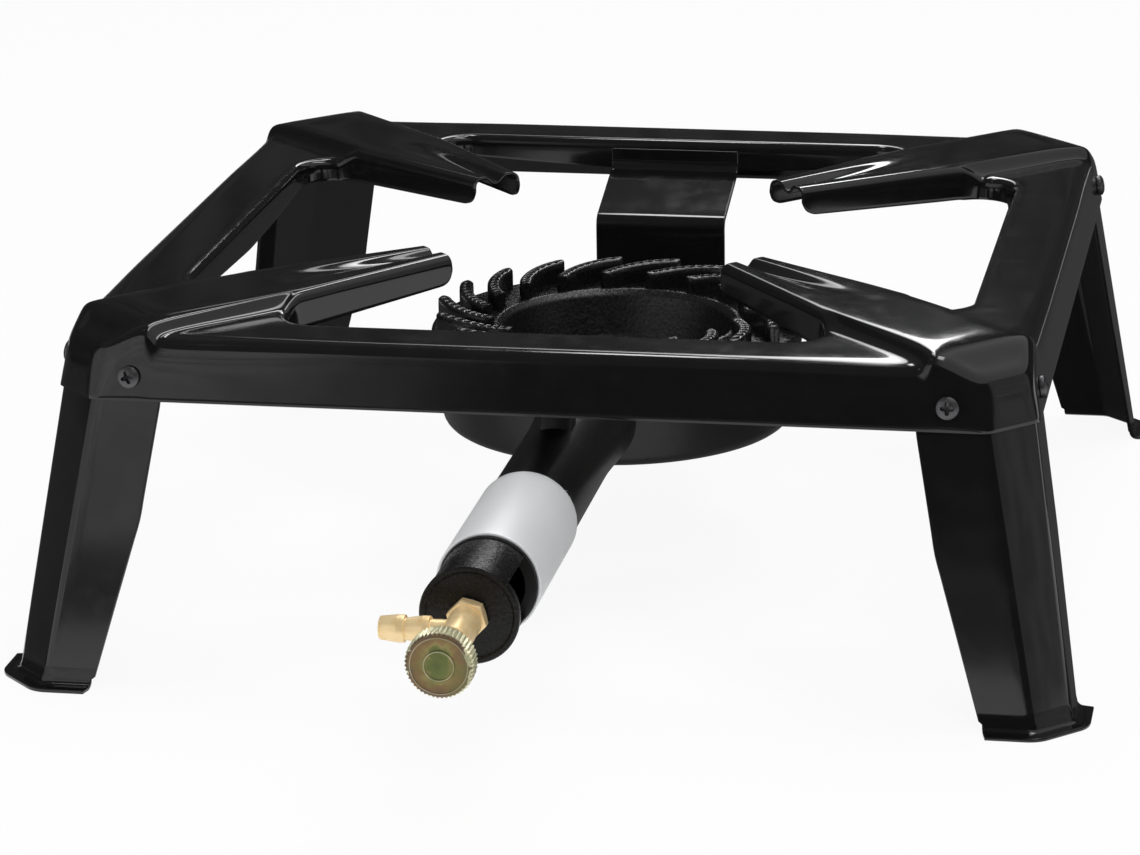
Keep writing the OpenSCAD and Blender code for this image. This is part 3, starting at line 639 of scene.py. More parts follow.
def pan_head(diameter, height, stem, stem_length):
    """A pan-head screw: a domed disc over a stem, with a cross sunk where |x| or |y| is
    small near the middle."""
    r = diameter / 2
    radii = np.concatenate([np.linspace(0, r * 0.62, 22), np.linspace(r * 0.66, r * 0.97, 9)])
    a = np.linspace(0, 2 * np.pi, 96, endpoint=False)
    rr, aa = np.meshgrid(radii, a, indexing="ij")
    x, y = rr * np.cos(aa), rr * np.sin(aa)
    arm = np.minimum(np.abs(x), np.abs(y))
    far = np.maximum(np.abs(x), np.abs(y))
    width = mix(0.2, 0.11, np.clip(far / (r * 0.55), 0, 1)) * r
    sink = ease((width - arm) / (0.06 * r) + 0.5) * ease((r * 0.54 - far) / (0.08 * r) + 0.5)
    z = height * (1 - 0.42 * (rr / r) ** 3.2) - sink * height * mix(0.95, 0.6, far / (r * 0.6))
    last = height * (1 - 0.42 * 0.97**3.2)
    wall, _ = lathe([(r, last - 0.35), (r, 0.25), (r - 0.2, 0.0), (stem, 0.0),
                     (stem, -stem_length), (0, -stem_length)])
    return grid(np.concatenate([np.stack([x, y, z], axis=-1), wall.reshape(-1, 96, 3)]), wrap=True)


# ---- shader maths -----------------------------------------------------------------------


class Value:
    """A shader socket that takes part in sums; numbers alone are worked out in Python."""

    def __init__(self, shading, socket):
        self.shading, self.socket = shading, socket

    def _math(self, operation, a, b, clamp=False):
        settings = {"operation": operation, "use_clamp": clamp}
        return self.shading.node("ShaderNodeMath", settings, {0: a, 1: b})

    def __add__(self, o):
        return self._math("ADD", self, o)

    __radd__ = __add__

    def __mul__(self, o):
        return self._math("MULTIPLY", self, o)

    __rmul__ = __mul__

    def __sub__(self, o):
        return self._math("SUBTRACT", self, o)

    def __rsub__(self, o):
        return self._math("SUBTRACT", o, self)

    def __truediv__(self, o):
        return self._math("DIVIDE", self, o)

    def __pow__(self, o):
        return self._math("POWER", self, o)

    def clamp(self):
        return self._math("ADD", self, 0.0, clamp=True)

    def step(self, low, high):
        """0 below low, 1 above high, eased between."""
        settings = {"interpolation_type": "SMOOTHSTEP"}
        ins = {"Value": self, "From Min": low, "From Max": high}
        return self.shading.node("ShaderNodeMapRange", settings, ins)


class Shading:
    """The nodes of one tree."""

    def __init__(self, tree):
        self.tree = tree
        tree.nodes.clear()

    def put(self, socket, value):
        """Links a value into a socket, or writes a number, colour or vector there."""
        if isinstance(value, Value):
            self.tree.links.new(value.socket, socket)
        elif hasattr(socket.default_value, "__len__") and not isinstance(value, (int, float)):
            alpha = (1.0,) if len(socket.default_value) == 4 and len(value) == 3 else ()
            socket.default_value = (*value, *alpha)
        else:
            socket.default_value = value

    def node(self, kind, settings, ins, out=0):
        """A node of a kind with its settings and its sockets' values or links. It gives one of
        the node's outputs, or the node itself where it has none."""
        n = self.tree.nodes.new(kind)
        for key, v in settings.items():
            if key == "stops":
                ramp = n.color_ramp
                while len(ramp.elements) < len(v):
                    ramp.elements.new(0.5)
                for e, (at, rgb) in zip(ramp.elements, v):
                    e.position, e.color = at, (*rgb, 1)
            else:
                setattr(n, key, v)
        for key, v in ins.items():
            self.put(n.inputs[key], v)
        return Value(self, n.outputs[out]) if len(n.outputs) else n

    def seen(self):
        """1 for what the camera sees, straight, in a mirror or through glass."""
        kinds = ("Is Camera Ray", "Is Glossy Ray", "Is Transmission Ray")
        camera, glossy, through = (self.node("ShaderNodeLightPath", {}, {}, k) for k in kinds)
        return (camera + glossy + through).clamp()


class Surface(Shading):
    """A material for this object, built round one Principled shader."""

    def __init__(self, name):
        self.material = bpy.data.materials.new(name)
        self.material.use_nodes = True
        super().__init__(self.material.node_tree)
        self.shader = self.node("ShaderNodeBsdfPrincipled", {}, {})
        self.out = self.node("ShaderNodeOutputMaterial", {}, {0: self.shader})
        self.place = self.node("ShaderNodeTexCoord", {}, {}, "Object")

    def noise(self, scale, detail=3.0, rough=0.5, at=None):
        ins = {"Vector": at or self.place, "Scale": scale, "Detail": detail, "Roughness": rough}
        return self.node("ShaderNodeTexNoise", {}, ins, "Fac")

    def mapped(self, **ins):
        """Object coordinates moved and scaled."""
        return self.node("ShaderNodeMapping", {}, {"Vector": self.place, **ins}, "Vector")

    def blend(self, amount, a, b):
        """Colour a where amount is 0 and colour b where it is 1."""
        return self.node("ShaderNodeMix", {"data_type": "RGBA"}, {0: amount, 6: a, 7: b}, 2)

    def tint(self, rgb, low, high, amount):
        """A colour that varies in lightness from low to high times itself."""
        return self.blend(amount, [c * low for c in rgb], [min(c * high, 1) for c in rgb])

    def bump(self, height, distance, strength=1.0):
        ins = {"Height": height, "Distance": distance, "Strength": strength}
        return self.node("ShaderNodeBump", {}, ins, "Normal")

    def set(self, **values):
        """Puts values into the shader's sockets, by their plain names."""
        names = {"colour": "Base Color", "rough": "Roughness", "metal": "Metallic",
                 "coat": "Coat Weight", "coat_rough": "Coat Roughness", "normal": "Normal",
                 "level": "Specular IOR Level", "glow": "Emission Color",
                 "glow_strength": "Emission Strength"}
        for key, v in values.items():
            self.put(self.shader.socket.node.inputs[names[key]], v)
        return self.material


def enamel():
    """Glossy black enamel: a faint orange peel, and soft waves in the sheet under it."""
    s = Surface("glossy_enamel")
    waves = s.noise(26, 2.0, 0.45)
    peel = s.noise(520, 2.0, 0.5)
    dust = s.noise(90, 5.0, 0.6)
    return s.set(colour=s.tint(colours().enamel, 0.8, 1.35, dust), level=0.42, coat=0.35,
                 rough=0.1 + dust.step(0.45, 0.8) * 0.07, coat_rough=0.06,
                 normal=s.bump(waves + peel * 0.035, 0.0006, 0.22))


def rough_casting(name="rough_casting", grit=0.42, shine=0.5):
    """Sand-cast iron under thin black paint: coarse grain with a broken gloss."""
    s = Surface(name)
    grain = s.noise(640, 6.0, 0.68)
    lumps = s.noise(130, 3.0, 0.55)
    pits = s.node("ShaderNodeTexVoronoi", {}, {"Vector": s.place, "Scale": 520}, "Distance")
    height = grain * 0.75 + lumps * 0.6 - pits * 0.35
    return s.set(colour=s.tint(colours().cast, 0.4, 1.5, grain), level=shine,
                 rough=0.13 + grain.step(0.35, 0.7) * 0.3, normal=s.bump(height, 0.0007, grit))


def vane_casting():
    """The same casting where the ports are drilled: smoother, so that their edges show."""
    return rough_casting("vane_casting", 0.12, 0.6)


def inlet_casting():
    """The same casting at the tube's end, where the paint is duller."""
    return rough_casting("inlet_casting", 0.42, 0.25)


def smooth_casting():
    """The same paint on smoother metal, semi-gloss, with faint lumps."""
    s = Surface("smooth_casting")
    grain = s.noise(420, 5.0, 0.6)
    lumps = s.noise(60, 3.0, 0.5)
    return s.set(colour=s.tint(colours().cast, 0.7, 1.5, lumps), rough=0.3 + grain * 0.16,
                 level=0.45, normal=s.bump(grain * 0.4 + lumps, 0.0006, 0.3))


def shutter_sheet():
    """Bright sheet with a fine grain round the tube."""
    s = Surface("shutter_sheet")
    lines = s.noise(1.0, 3.0, 0.6, at=s.mapped(Scale=(60, 1400, 60)))
    cloud = s.noise(45, 3.0, 0.5)
    return s.set(colour=s.tint(colours().silver, 0.92, 1.06, lines * 0.5 + cloud * 0.5),
                 metal=0.3, rough=0.42 + lines * 0.14, normal=s.bump(lines, 0.0001, 0.2))


def turned_brass():
    """Machined brass with fine tool marks and a slight tarnish."""
    s = Surface("turned_brass")
    r, g, b = colours().brass
    marks = s.noise(1600, 2.0, 0.5)
    tarnish = s.noise(170, 4.0, 0.6)
    dull = (r * 0.88, g * 0.8, b * 0.64)
    return s.set(colour=s.blend(tarnish.step(0.42, 0.75), (r, g, b), dull), metal=0.5,
                 rough=0.3 + tarnish * 0.16, normal=s.bump(marks, 0.00012, 0.25))


KNOB_R = 13.4
KNOB_RIDGES = (0.428, 0.825)  # shares of the knob's radius


def passivated_zinc():
    """Yellow-passivated zinc: the film's colour runs from olive in the middle of the knob
    through a brown ring to a pale green rim, in uneven patches, and is worn off two ridges."""
    s = Surface("passivated_zinc")
    bare = list(colours().zinc)
    flat = s.mapped(Location=(0, 0, -tube_axis() / 1000), Scale=(1, 0, 1))
    centre = s.node("ShaderNodeVectorMath", {"operation": "LENGTH"}, {0: flat}, "Value")
    share = centre / (KNOB_R / 1000)
    patches = s.noise(210, 4.0, 0.6)
    swirl = s.noise(75, 2.0, 0.5)
    film = s.node("ShaderNodeValToRGB", {"stops": [
        (0.0, (0.10, 0.13, 0.045)), (0.36, (0.15, 0.17, 0.055)), (0.47, (0.30, 0.25, 0.10)),
        (0.62, (0.24, 0.16, 0.07)), (0.8, (0.21, 0.135, 0.075)), (0.93, (0.17, 0.125, 0.09)),
        (0.975, bare),
    ]}, {0: share + (patches - 0.5) * 0.7 + (swirl - 0.5) * 0.5}, "Color")
    inner, outer = ((share - ridge) ** 2 for ridge in KNOB_RIDGES)
    worn = 1 - inner.step(0.0002, 0.0009) * outer.step(0.0001, 0.0005)
    film = s.blend(worn * (0.2 + patches * 0.4), film, bare)
    film = s.blend(swirl.step(0.5, 0.64) * 0.5, film, (0.17, 0.19, 0.065))
    return s.set(colour=s.blend(share.step(0.93, 0.97), film, bare), metal=0.7,
                 rough=0.32 + patches * 0.16, normal=s.bump(patches, 0.0002, 0.25))


def blackened_steel():
    """Blackened steel, worn lighter in patches."""
    s = Surface("blackened_steel")
    wear = s.noise(900, 4.0, 0.6)
    return s.set(colour=s.tint(colours().screw, 0.6, 1.7, wear), metal=0.9,
                 rough=0.3 + wear * 0.2, normal=s.bump(wear, 0.0001, 0.3))


def pressed_fibre():
    """Pale pressed fibre of the gland packing."""
    s = Surface("pressed_fibre")
    strands = s.noise(2400, 5.0, 0.7)
    return s.set(colour=s.tint([0.6, 0.57, 0.5], 0.7, 1.2, strands), rough=0.85,
                 normal=s.bump(strands, 0.0003, 0.5))


_made = {}


def finish(maker):
    """The material of a finish, made once."""
    if maker not in _made:
        _made[maker] = maker()
    return _made[maker]


def dress(node, maker):
    """Gives a carried-over node its finish."""
    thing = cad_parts[node]
    thing.data.materials.clear()
    thing.data.materials.append(finish(maker))


# ---- operators --------------------------------------------------------------------------


class Make(bpy.types.Operator):
    """What every piece's operator shares"""

    bl_options = {"REGISTER", "UNDO"}

    def execute(self, context):
        self.make()
        return {"FINISHED"}


class MakePressing(Make):
    """Press the frame with its four pot supports"""

    bl_idname = "burner_stand.pressing"
    bl_label = "Pressed frame"

    def make(self):
        shape = eightfold(Sector().grids())
        piece("frame_pressing", shape, finish(enamel), "stand", ["top_frame"],
              wall=mm(sizes().sheet), edge=0.35, smooth=1, upward=(0, 0, 1), sharp=50,
              soften=pressed_softness)


class MakeLegs(Make):
    """Bend the four legs"""

    bl_idname = "burner_stand.legs"
    bl_label = "Legs"

    def make(self):
        points, faces = leg_sheet()
        for end, sy in (("rear", 1), ("front", -1)):
            for side, sx in (("right", 1), ("left", -1)):
                place = f"leg_{end}_{side}"
                shape = points * [sx, sy, 1], faces
                piece(f"bent_{place}", shape, finish(enamel), "stand", [place],
                      wall=mm(sizes().sheet), edge=0.35, upward=(sx, sy, 0.3), sharp=50)


class MakeLegScrews(Make):
    """Turn the eight screws of the legs"""

    bl_idname = "burner_stand.leg_screws"
    bl_label = "Leg screws"

    def make(self):
        """Each screw stands square on the leaning skirt, its cross turned to its own angle."""
        tilt = math.radians(90) - math.atan(LEAN)
        c, s = math.cos(tilt), math.sin(tilt)
        lean = np.array([[1, 0, 0], [0, c, -s], [0, s, c]])
        screw = pan_head(diameter=9.4, height=3.2, stem=2.5, stem_length=12)
        parts = []
        for quarter in range(4):
            for side in (-1, 1):
                head = turned(screw, about_z(10 - 10 * side + 31 * quarter), (0, 0, FIT))
                place = (side * SCREW_ACROSS, -skirt_n(SCREW_RISE), SCREW_RISE)
                parts.append(turned(turned(head, lean, place), about_z(90 * quarter)))
        piece("leg_screw_heads", joined(parts), finish(blackened_steel), "stand",
              ["leg_screws"], sharp=32)
        dress("leg_nuts", blackened_steel)


class MakeStraps(Make):
    """Bend the rear bracket and the front hanger"""

    bl_idname = "burner_stand.straps"
    bl_label = "Straps"

    def make(self):
        base = mm(burner().base) - FIT
        lip = mm(sizes().opening_half) - FIT
        rail = mm(sizes().rail_top)
        rear = [(lip - STRAP_SHEET, rail - 4, 0), (lip - STRAP_SHEET, rail - 13, 5),
                (122, rail - 27, 6), (122, base, 6), (-16, base, 0)]
        self.strap("rear_strap", rounded_profile(rear, 7), 62.0, "rear_bracket", (0, -1, 1))
        lug = tube_axis() + LUG_HIGH + FIT + STRAP_SHEET
        front = [(-lip, rail - 4, 0), (-lip, rail - 15, 4), (-LUG_REACH - 2 * LUG_HALF, lug, 4),
                 (-LUG_REACH + LUG_HALF, lug, 0)]
        self.strap("front_strap", rounded_profile(front, 5), 16.0, "front_hanger", (0, 0, 1))
        dress("hanger_screw", blackened_steel)

    def strap(self, name, path, width, node, away):
        """A path of (y, z) in the plane x = 0, carried across the strap's width. Each long
        straight gets a point close to both its ends, so that it shades flat."""
        half = width / 2
        x = np.linspace(EDGE_STRIP - half, half - EDGE_STRIP, 9)
        x = np.concatenate([[-half], x, [half]])
        fine = [path[:1]]
        for p, q in zip(path[:-1], path[1:]):
            near = EDGE_STRIP / np.linalg.norm(q - p)
            at = [near, 1 - near, 1] if near < 0.2 else [1]
            fine.append(mix(p, q, np.array(at)[:, None]))
        path = np.concatenate(fine)
        shape = grid(np.stack(np.broadcast_arrays(x, path[:, :1], path[:, 1:]), axis=-1))
        piece(name, shape, finish(enamel), "stand", [node], wall=STRAP_SHEET,
              edge=0.35, upward=away, sharp=50)


class MakeCasting(Make):
    """Cast the bowl with its mixer tube"""

    bl_idname = "burner_stand.casting"
    bl_label = "Bowl and mixer tube"

    bore = 15.0
    window_back, window_front = 37.0, 6.0  # from the closed end
    sleeve_seat = 19.7

    def make(self):
        b = burner()
        foot, reach, r = mm(b.foot_r), mm(b.tube_reach), mm(b.tube_r)
        parts = [self.bowl(mm(b.base), foot, mm(b.crown_r)), on_axis(self.tube(r, foot, reach)),
                 self.lug()]
        piece("cast_bowl_tube", joined(parts), finish(smooth_casting), "stand",
              ["burner_casting"], sharp=40)
        piece("cast_inlet", on_axis(self.inlet(r, reach)), finish(inlet_casting), "stand",
              sharp=40)

    def bowl(self, base, foot, crown):
        """A lathe profile up the outside of the bowl and down its inside."""
        rim, bolt = base + BOWL_HIGH, 4.6
        return lathe(rounded_profile([
            (bolt, base, 0), (foot, base, 6), (crown, rim, 1), (crown - 5, rim, 1),
            (foot - 7, base + 5, 8), (bolt, base + 5, 0), (bolt, base, 0)], 6), 160)

    def lug(self):
        """A square post with rounded corners, from the tube up to the hanger."""
        half = LUG_HALF
        outline = [(0, -half, 0), (half, -half, 1.6), (half, half, 1.6), (-half, half, 1.6),
                   (-half, -half, 1.6), (0, -half, 0)]
        ring = rounded_profile(outline, 4)[:-1]
        levels = [(0, 0), (1.0, 0), (1.0, LUG_HIGH - 0.8), (0.93, LUG_HIGH), (0, LUG_HIGH)]
        rows = np.stack([with_height(ring * k, z) for k, z in levels])
        return turned(grid(rows, wrap=True), np.eye(3), (0, -LUG_REACH, tube_axis()))

    def tube(self, r, foot, reach):
        """The tube up to the back of its air windows: a lathe profile that flares at the bowl,
        with a nub on its side that stops the shutter."""
        start, front, flare_long = foot - 5, reach - self.window_back + 0.5, 55
        z = np.linspace(start, start + flare_long, 12)
        flare = r + 2.4 * (1 - ease((z - start) / flare_long))
        seat, bore = self.sleeve_seat, self.bore
        profile = [*zip(flare, z), (r, front - 88), (seat, front - 87.4), (seat, front),
                   (bore, front), (bore, start), (flare[0], start)]
        nub = lathe([(0, 0), (2.5, 0), (2.5, 3.0), (2.0, 3.5), (0, 3.5)], 20)
        nub = turned(nub, np.eye(3), (seat * 0.78, seat * 0.5, front - 85.5))
        return joined([lathe(profile), nub])

    def inlet(self, r, reach):
        """The end of the tube: its wall as a grid of angle and length, left open where the
        air windows are, and the end disc with its raised rim."""
        low, high = reach - self.window_back, reach - self.window_front
        steps, bore, seat = 144, self.bore, self.sleeve_seat
        a = np.linspace(0, 2 * np.pi, steps, endpoint=False)
        z = np.linspace(low, high + 1, 33)
        aa, zz = np.meshgrid(a, z)
        outer, inner = (
            np.stack([radius * np.cos(aa), radius * np.sin(aa), zz], axis=-1) for radius in (r, bore))
        middle = a + np.pi / steps
        closed = np.abs((middle + np.pi / 2) % np.pi - np.pi / 2) > math.asin(12.5 / r)
        faces = grid_faces(len(z), steps, wrap=True).reshape(len(z) - 1, steps, 4)[:, closed]
        parts = [(outer, faces.reshape(-1, 4)), (inner, faces.reshape(-1, 4)[:, ::-1])]
        for k in np.flatnonzero(closed != np.roll(closed, 1)):
            parts.append(grid(np.stack([outer[:, k], inner[:, k]], axis=1)))
        end = [(0, high), (r - 0.6, high), (r, high + 0.6), (r, reach - 3.2), (seat, reach - 2.9),
               (19.75, reach - 0.5), (19.2, reach), (17.9, reach), (17.4, reach - 0.5),
               (16.9, reach - 1.1), (6.0, reach - 1.0), (5.2, reach - 0.2), (0, reach - 0.2)]
        back = [(bore, low - 0.4), (r, low - 0.4), (r, low + 0.1), (bore, low + 0.1),
                (bore, low - 0.4)]
        return joined([*parts, lathe(end), lathe(back)])


class MakeCrown(Make):
    """Cast the crown with its swirl vanes"""

    bl_idname = "burner_stand.crown"
    bl_label = "Burner crown"

    def make(self):
        b = burner()
        r, seat = mm(b.crown_r), mm(b.base) + BOWL_HIGH
        plate, gap = seat + 4, seat + FIT
        under, dish, bolt = seat - 22, seat - 18, 4.4
        profile = rounded_profile([
            (bolt, under, 0), (49, under, 2), (54, gap, 1), (r, gap, 0.5), (r, plate - 1.2, 0.6),
            (r - 1.2, plate, 0.8), (58, plate, 1.2), (56.2, plate + 1.2, 0.8),
            (54.4, plate + 1.2, 1), (51.5, plate - 1, 3), (46, dish + 2.5, 4),
            (42, dish + 0.2, 2), (bolt, dish, 0), (bolt, under, 0)], 5)
        piece("crown_plate", lathe(profile, 180), finish(rough_casting), "stand",
              ["burner_crown"], sharp=40)
        vane = self.vane(r, plate)
        ring = [turned(vane, about_z(k * 360 / b.vanes)) for k in range(b.vanes)]
        piece("crown_vanes", joined(ring), finish(vane_casting), "stand", sharp=60)
        for node in ("burner_bolt", "burner_washer", "burner_nut"):
            dress(node, blackened_steel)

    def vane(self, r, plate):
        """One vane. s runs along its centre line and q across it, from foot over the rounded top
        to foot. The line's radius grows evenly with s while it turns back by 24 degrees towards
        its inner end, and both ends close in a half round. Each flame port is a shallow cone
        round a deeper hole, stretched across the vane."""
        half_w, r_in, r_out = 3.0, 57.0, r - 1.5
        ridge_in, ridge_out = 8.3, 9.4  # over the plate
        inner, outer = r_in + half_w, r_out - half_w
        run = (outer - inner) * 1.25
        s = np.linspace(-half_w, run + half_w, 132)
        t = np.clip(s / run, 0, 1)
        over = np.clip(np.maximum(-s, s - run), 0, half_w)
        width = np.sqrt(half_w**2 - over**2)

        def line(t):
            radius = mix(inner, outer, t)
            angle = np.radians(24) * (1 - t) * (1 + 0.35 * t)
            return np.stack([radius * np.cos(angle), radius * np.sin(angle)], axis=-1)

        ahead = line(t + 0.001) - line(t - 0.001)
        ahead /= np.linalg.norm(ahead, axis=1)[:, None]
        centre = line(t) + ahead * (s - t * run)[:, None]
        across = np.stack([-ahead[:, 1], ahead[:, 0]], axis=-1)
        q = np.concatenate([np.full(4, -1.0), np.linspace(-0.97, 0.97, 21), np.full(4, 1.0)])
        lift = np.concatenate([np.linspace(0, 1, 5)[:-1], np.ones(21), np.linspace(1, 0, 5)[1:]])
        side = q[None] * width[:, None]
        ridge = mix(ridge_in, ridge_out, ease(t * 1.1))
        top = plate + ridge[:, None] - np.abs(q[None]) ** 4
        z = mix(plate - 0.6, top, lift[None])
        stations = np.linspace(0.04, 0.95, burner().ports) * run
        near = np.hypot(s[:, None, None] - stations, side[..., None] * 0.62).min(axis=-1)
        cone = 0.5 * (1 - np.clip(near / 1.4, 0, 1))
        hole = 2.0 * (1 - ease((near - 0.5) / 0.3))
        z = z - (cone + hole) * (lift[None] > 0.99)
        return grid(with_height(centre[:, None] + across[:, None] * side[..., None], z))


class MakeShutter(Make):
    """Roll the sliding air shutter"""

    bl_idname = "burner_stand.shutter"
    bl_label = "Air shutter"

    def make(self):
        low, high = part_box("air_shutter")
        back, front = (AXIS_Y - high[1]) * 1000, (AXIS_Y - low[1]) * 1000
        outer = (high[0] - low[0]) * 500
        inner, c = outer - 1.2, 0.25
        profile = [(inner, back + c), (inner + c, back), (outer - c, back), (outer, back + c),
                   *((outer, z) for z in np.linspace(back + 2, front - 2, 8)),
                   (outer, front - c), (outer - c, front), (inner + c, front),
                   (inner, front - c), (inner, back + c)]
        piece("shutter_sleeve", on_axis(lathe(profile, 128)), finish(shutter_sheet),
              "air_shutter", ["air_shutter"], sharp=50)


class MakeValve(Make):
    """Turn the valve with its nuts, spindle and hose tail"""

    bl_idname = "burner_stand.valve"
    bl_label = "Needle valve"

    def make(self):
        reach = mm(burner().tube_reach)
        nut = turned(hexagon(14, reach + FIT, reach + 6 + FIT, bore=5.05), about_z(45))
        self.brass("spigot_nut", on_axis(nut), "lock_nut", 28)
        end = reach + 31
        self.brass("valve_barrel_tail", joined([self.barrel(reach, end), self.tail(reach)]),
                   "valve_body", 30)
        gland = hexagon(11, end + FIT, end + 8, bore=2.05)
        self.brass("gland_hexagon", on_axis(gland), "gland_nut", 28)
        dress("valve_spindle", turned_brass)
        dress("injector_jet", turned_brass)
        dress("gland_packing", pressed_fibre)

    def brass(self, name, shape, node, sharp):
        piece(name, shape, finish(turned_brass), "stand", [node], sharp=sharp)

    def barrel(self, reach, end):
        """The barrel, with its spigot through the tube's closed end."""
        back, thread, outer = reach + 6.1, 5, 6.5
        return on_axis(lathe(rounded_profile([
            (0, reach - 12, 0), (thread, reach - 12, 0.4), (thread, back, 0.2),
            (outer, back, 0.5), (outer, end, 0.6), (0, end, 0)], 4), 72))

    def tail(self, reach):
        """The hose tail, with a barb at its root, one at its mouth, and its bore."""
        root, full, bore = 4.3, 5.4, 2.0
        profile = rounded_profile([
            (0, 0, 0), (root, 0, 0), (root, 11.2, 0.5), (full, 11.2, 0.25), (full, 14, 0.3),
            (root, 21, 0.3), (full, 21, 0.25), (full, 24, 0.3), (root + 0.2, 31, 0.5),
            (bore, 31, 0.4), (bore, 18, 0), (0, 18, 0)], 4)
        return turned(lathe(profile, 72), TO_LEFT, (0, -(reach + 17.5), tube_axis()))


class MakeKnob(Make):
    """Turn and knurl the knob"""

    bl_idname = "burner_stand.knob"
    bl_label = "Knob"

    def make(self):
        """Round the knob's rim the radius is cut by straight knurls, as deep as
        |cos(knurls a / 2)|^1.5, faded out towards both edges."""
        knurls = burner().knurls
        a = np.linspace(0, 2 * np.pi, knurls * 8, endpoint=False)
        profile = self.profile()
        rim = ease(profile[:, :1] - (KNOB_R - 1.5))
        radius = profile[:, :1] - rim * 0.62 * np.abs(np.cos(knurls * a / 2)) ** 1.5
        piece("knurled_knob", on_axis(rings(radius, profile[:, 1], a)), finish(passivated_zinc),
              "knob", ["knob"], sharp=45)

    def profile(self):
        """The lathe profile from the spindle's hole round the rim to the face with its two
        ridges, in steps of about 1.2 mm."""
        low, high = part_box("knob")
        back, face, r = (AXIS_Y - high[1]) * 1000, (AXIS_Y - low[1]) * 1000, KNOB_R
        profile = rounded_profile([
            (2.1, back + 9, 0), (2.1, back, 0.3), (6, back, 0.3), (6, back + 1.5, 0.5),
            (r - 2.6, back + 2.5, 1), (r, back + 5, 1.2), (r, face - 1.9, 0.9),
            (r - 0.9, face - 0.65, 0.6), (r - 2.0, face - 0.55, 0.2), (r - 2.35, face - 0.1, 0.2),
            (r - 2.75, face - 0.55, 0.2), (6.3, face - 0.65, 0.2), (5.95, face - 0.05, 0.2),
            (5.5, face - 0.05, 0.2), (5.2, face - 0.5, 0.2), (0, face - 0.4, 0)], 4)
        fine = [profile[:1]]
        for p, q in zip(profile[:-1], profile[1:]):
            n = max(1, int(np.linalg.norm(q - p) / 1.2))
            fine.append(p + (q - p) * np.linspace(0, 1, n + 1)[1:, None])
        return np.concatenate(fine)


# The stage is in metres. A card is given by its own light and its corners, which are set out
# from the burner's axis.
STAGE_R, STAGE_HIGH = 2.6, 1.9
FLOOR_CARDS = (
    (0.06, [(0.16, -0.25), (0.33, -0.25), (0.75, 0.7), (0.16, 0.7)]),
    (0.06, [(-0.9, 0.2), (0.75, 0.2), (1.3, 1.9), (-0.9, 1.9)]),
    # this card under the stand is a painted shadow: it darkens the floor in reflections where the
    # stand's shadow falls
    (0.25, [(-0.4, -0.12), (0.16, -0.12), (0.16, 0.2), (-0.4, 0.2)]),
    (0.1, [(-2.6, -0.4), (-0.27, -0.25), (-0.27, 0.25), (-2.6, 1.4)]),
    (0.15, [(-1.2, -2.4), (0.35, -2.4), (0.3, -0.8), (-0.5, -0.8)]),
)
CEILING_SPARKS = (
    ("left_spark", 6.0, (-0.76, -0.55), (-0.68, -0.38)),
    ("right_spark", 6.0, (0.38, -0.3), (0.7, 0.75)),
    ("strap_spark", 9.0, (-0.37, 0.8), (-0.22, 1.45)),
)
LIGHTS = (  # name, place, target, width, height, power
    ("key_top", (0.3, 0.5, 1.9), (0, 0.05, 0.12), 1.6, 0.5, 14),
    ("front_strip", (0.62, -1.2, 1.35), (0.12, -0.1, 0.14), 1.1, 0.3, 9),
    ("left_fill", (-1.9, -0.9, 0.7), (-0.1, 0, 0.1), 0.9, 0.9, 11),
)
CAMERA_PLACE, CAMERA_TURN = (0.3359, -1.9203, 0.6552), (10.57, 17.12, -0.88)
FOCAL, FRAME_WIDTH, SENSOR = 4472.9, 1140, 36  # pixels, pixels and millimetres


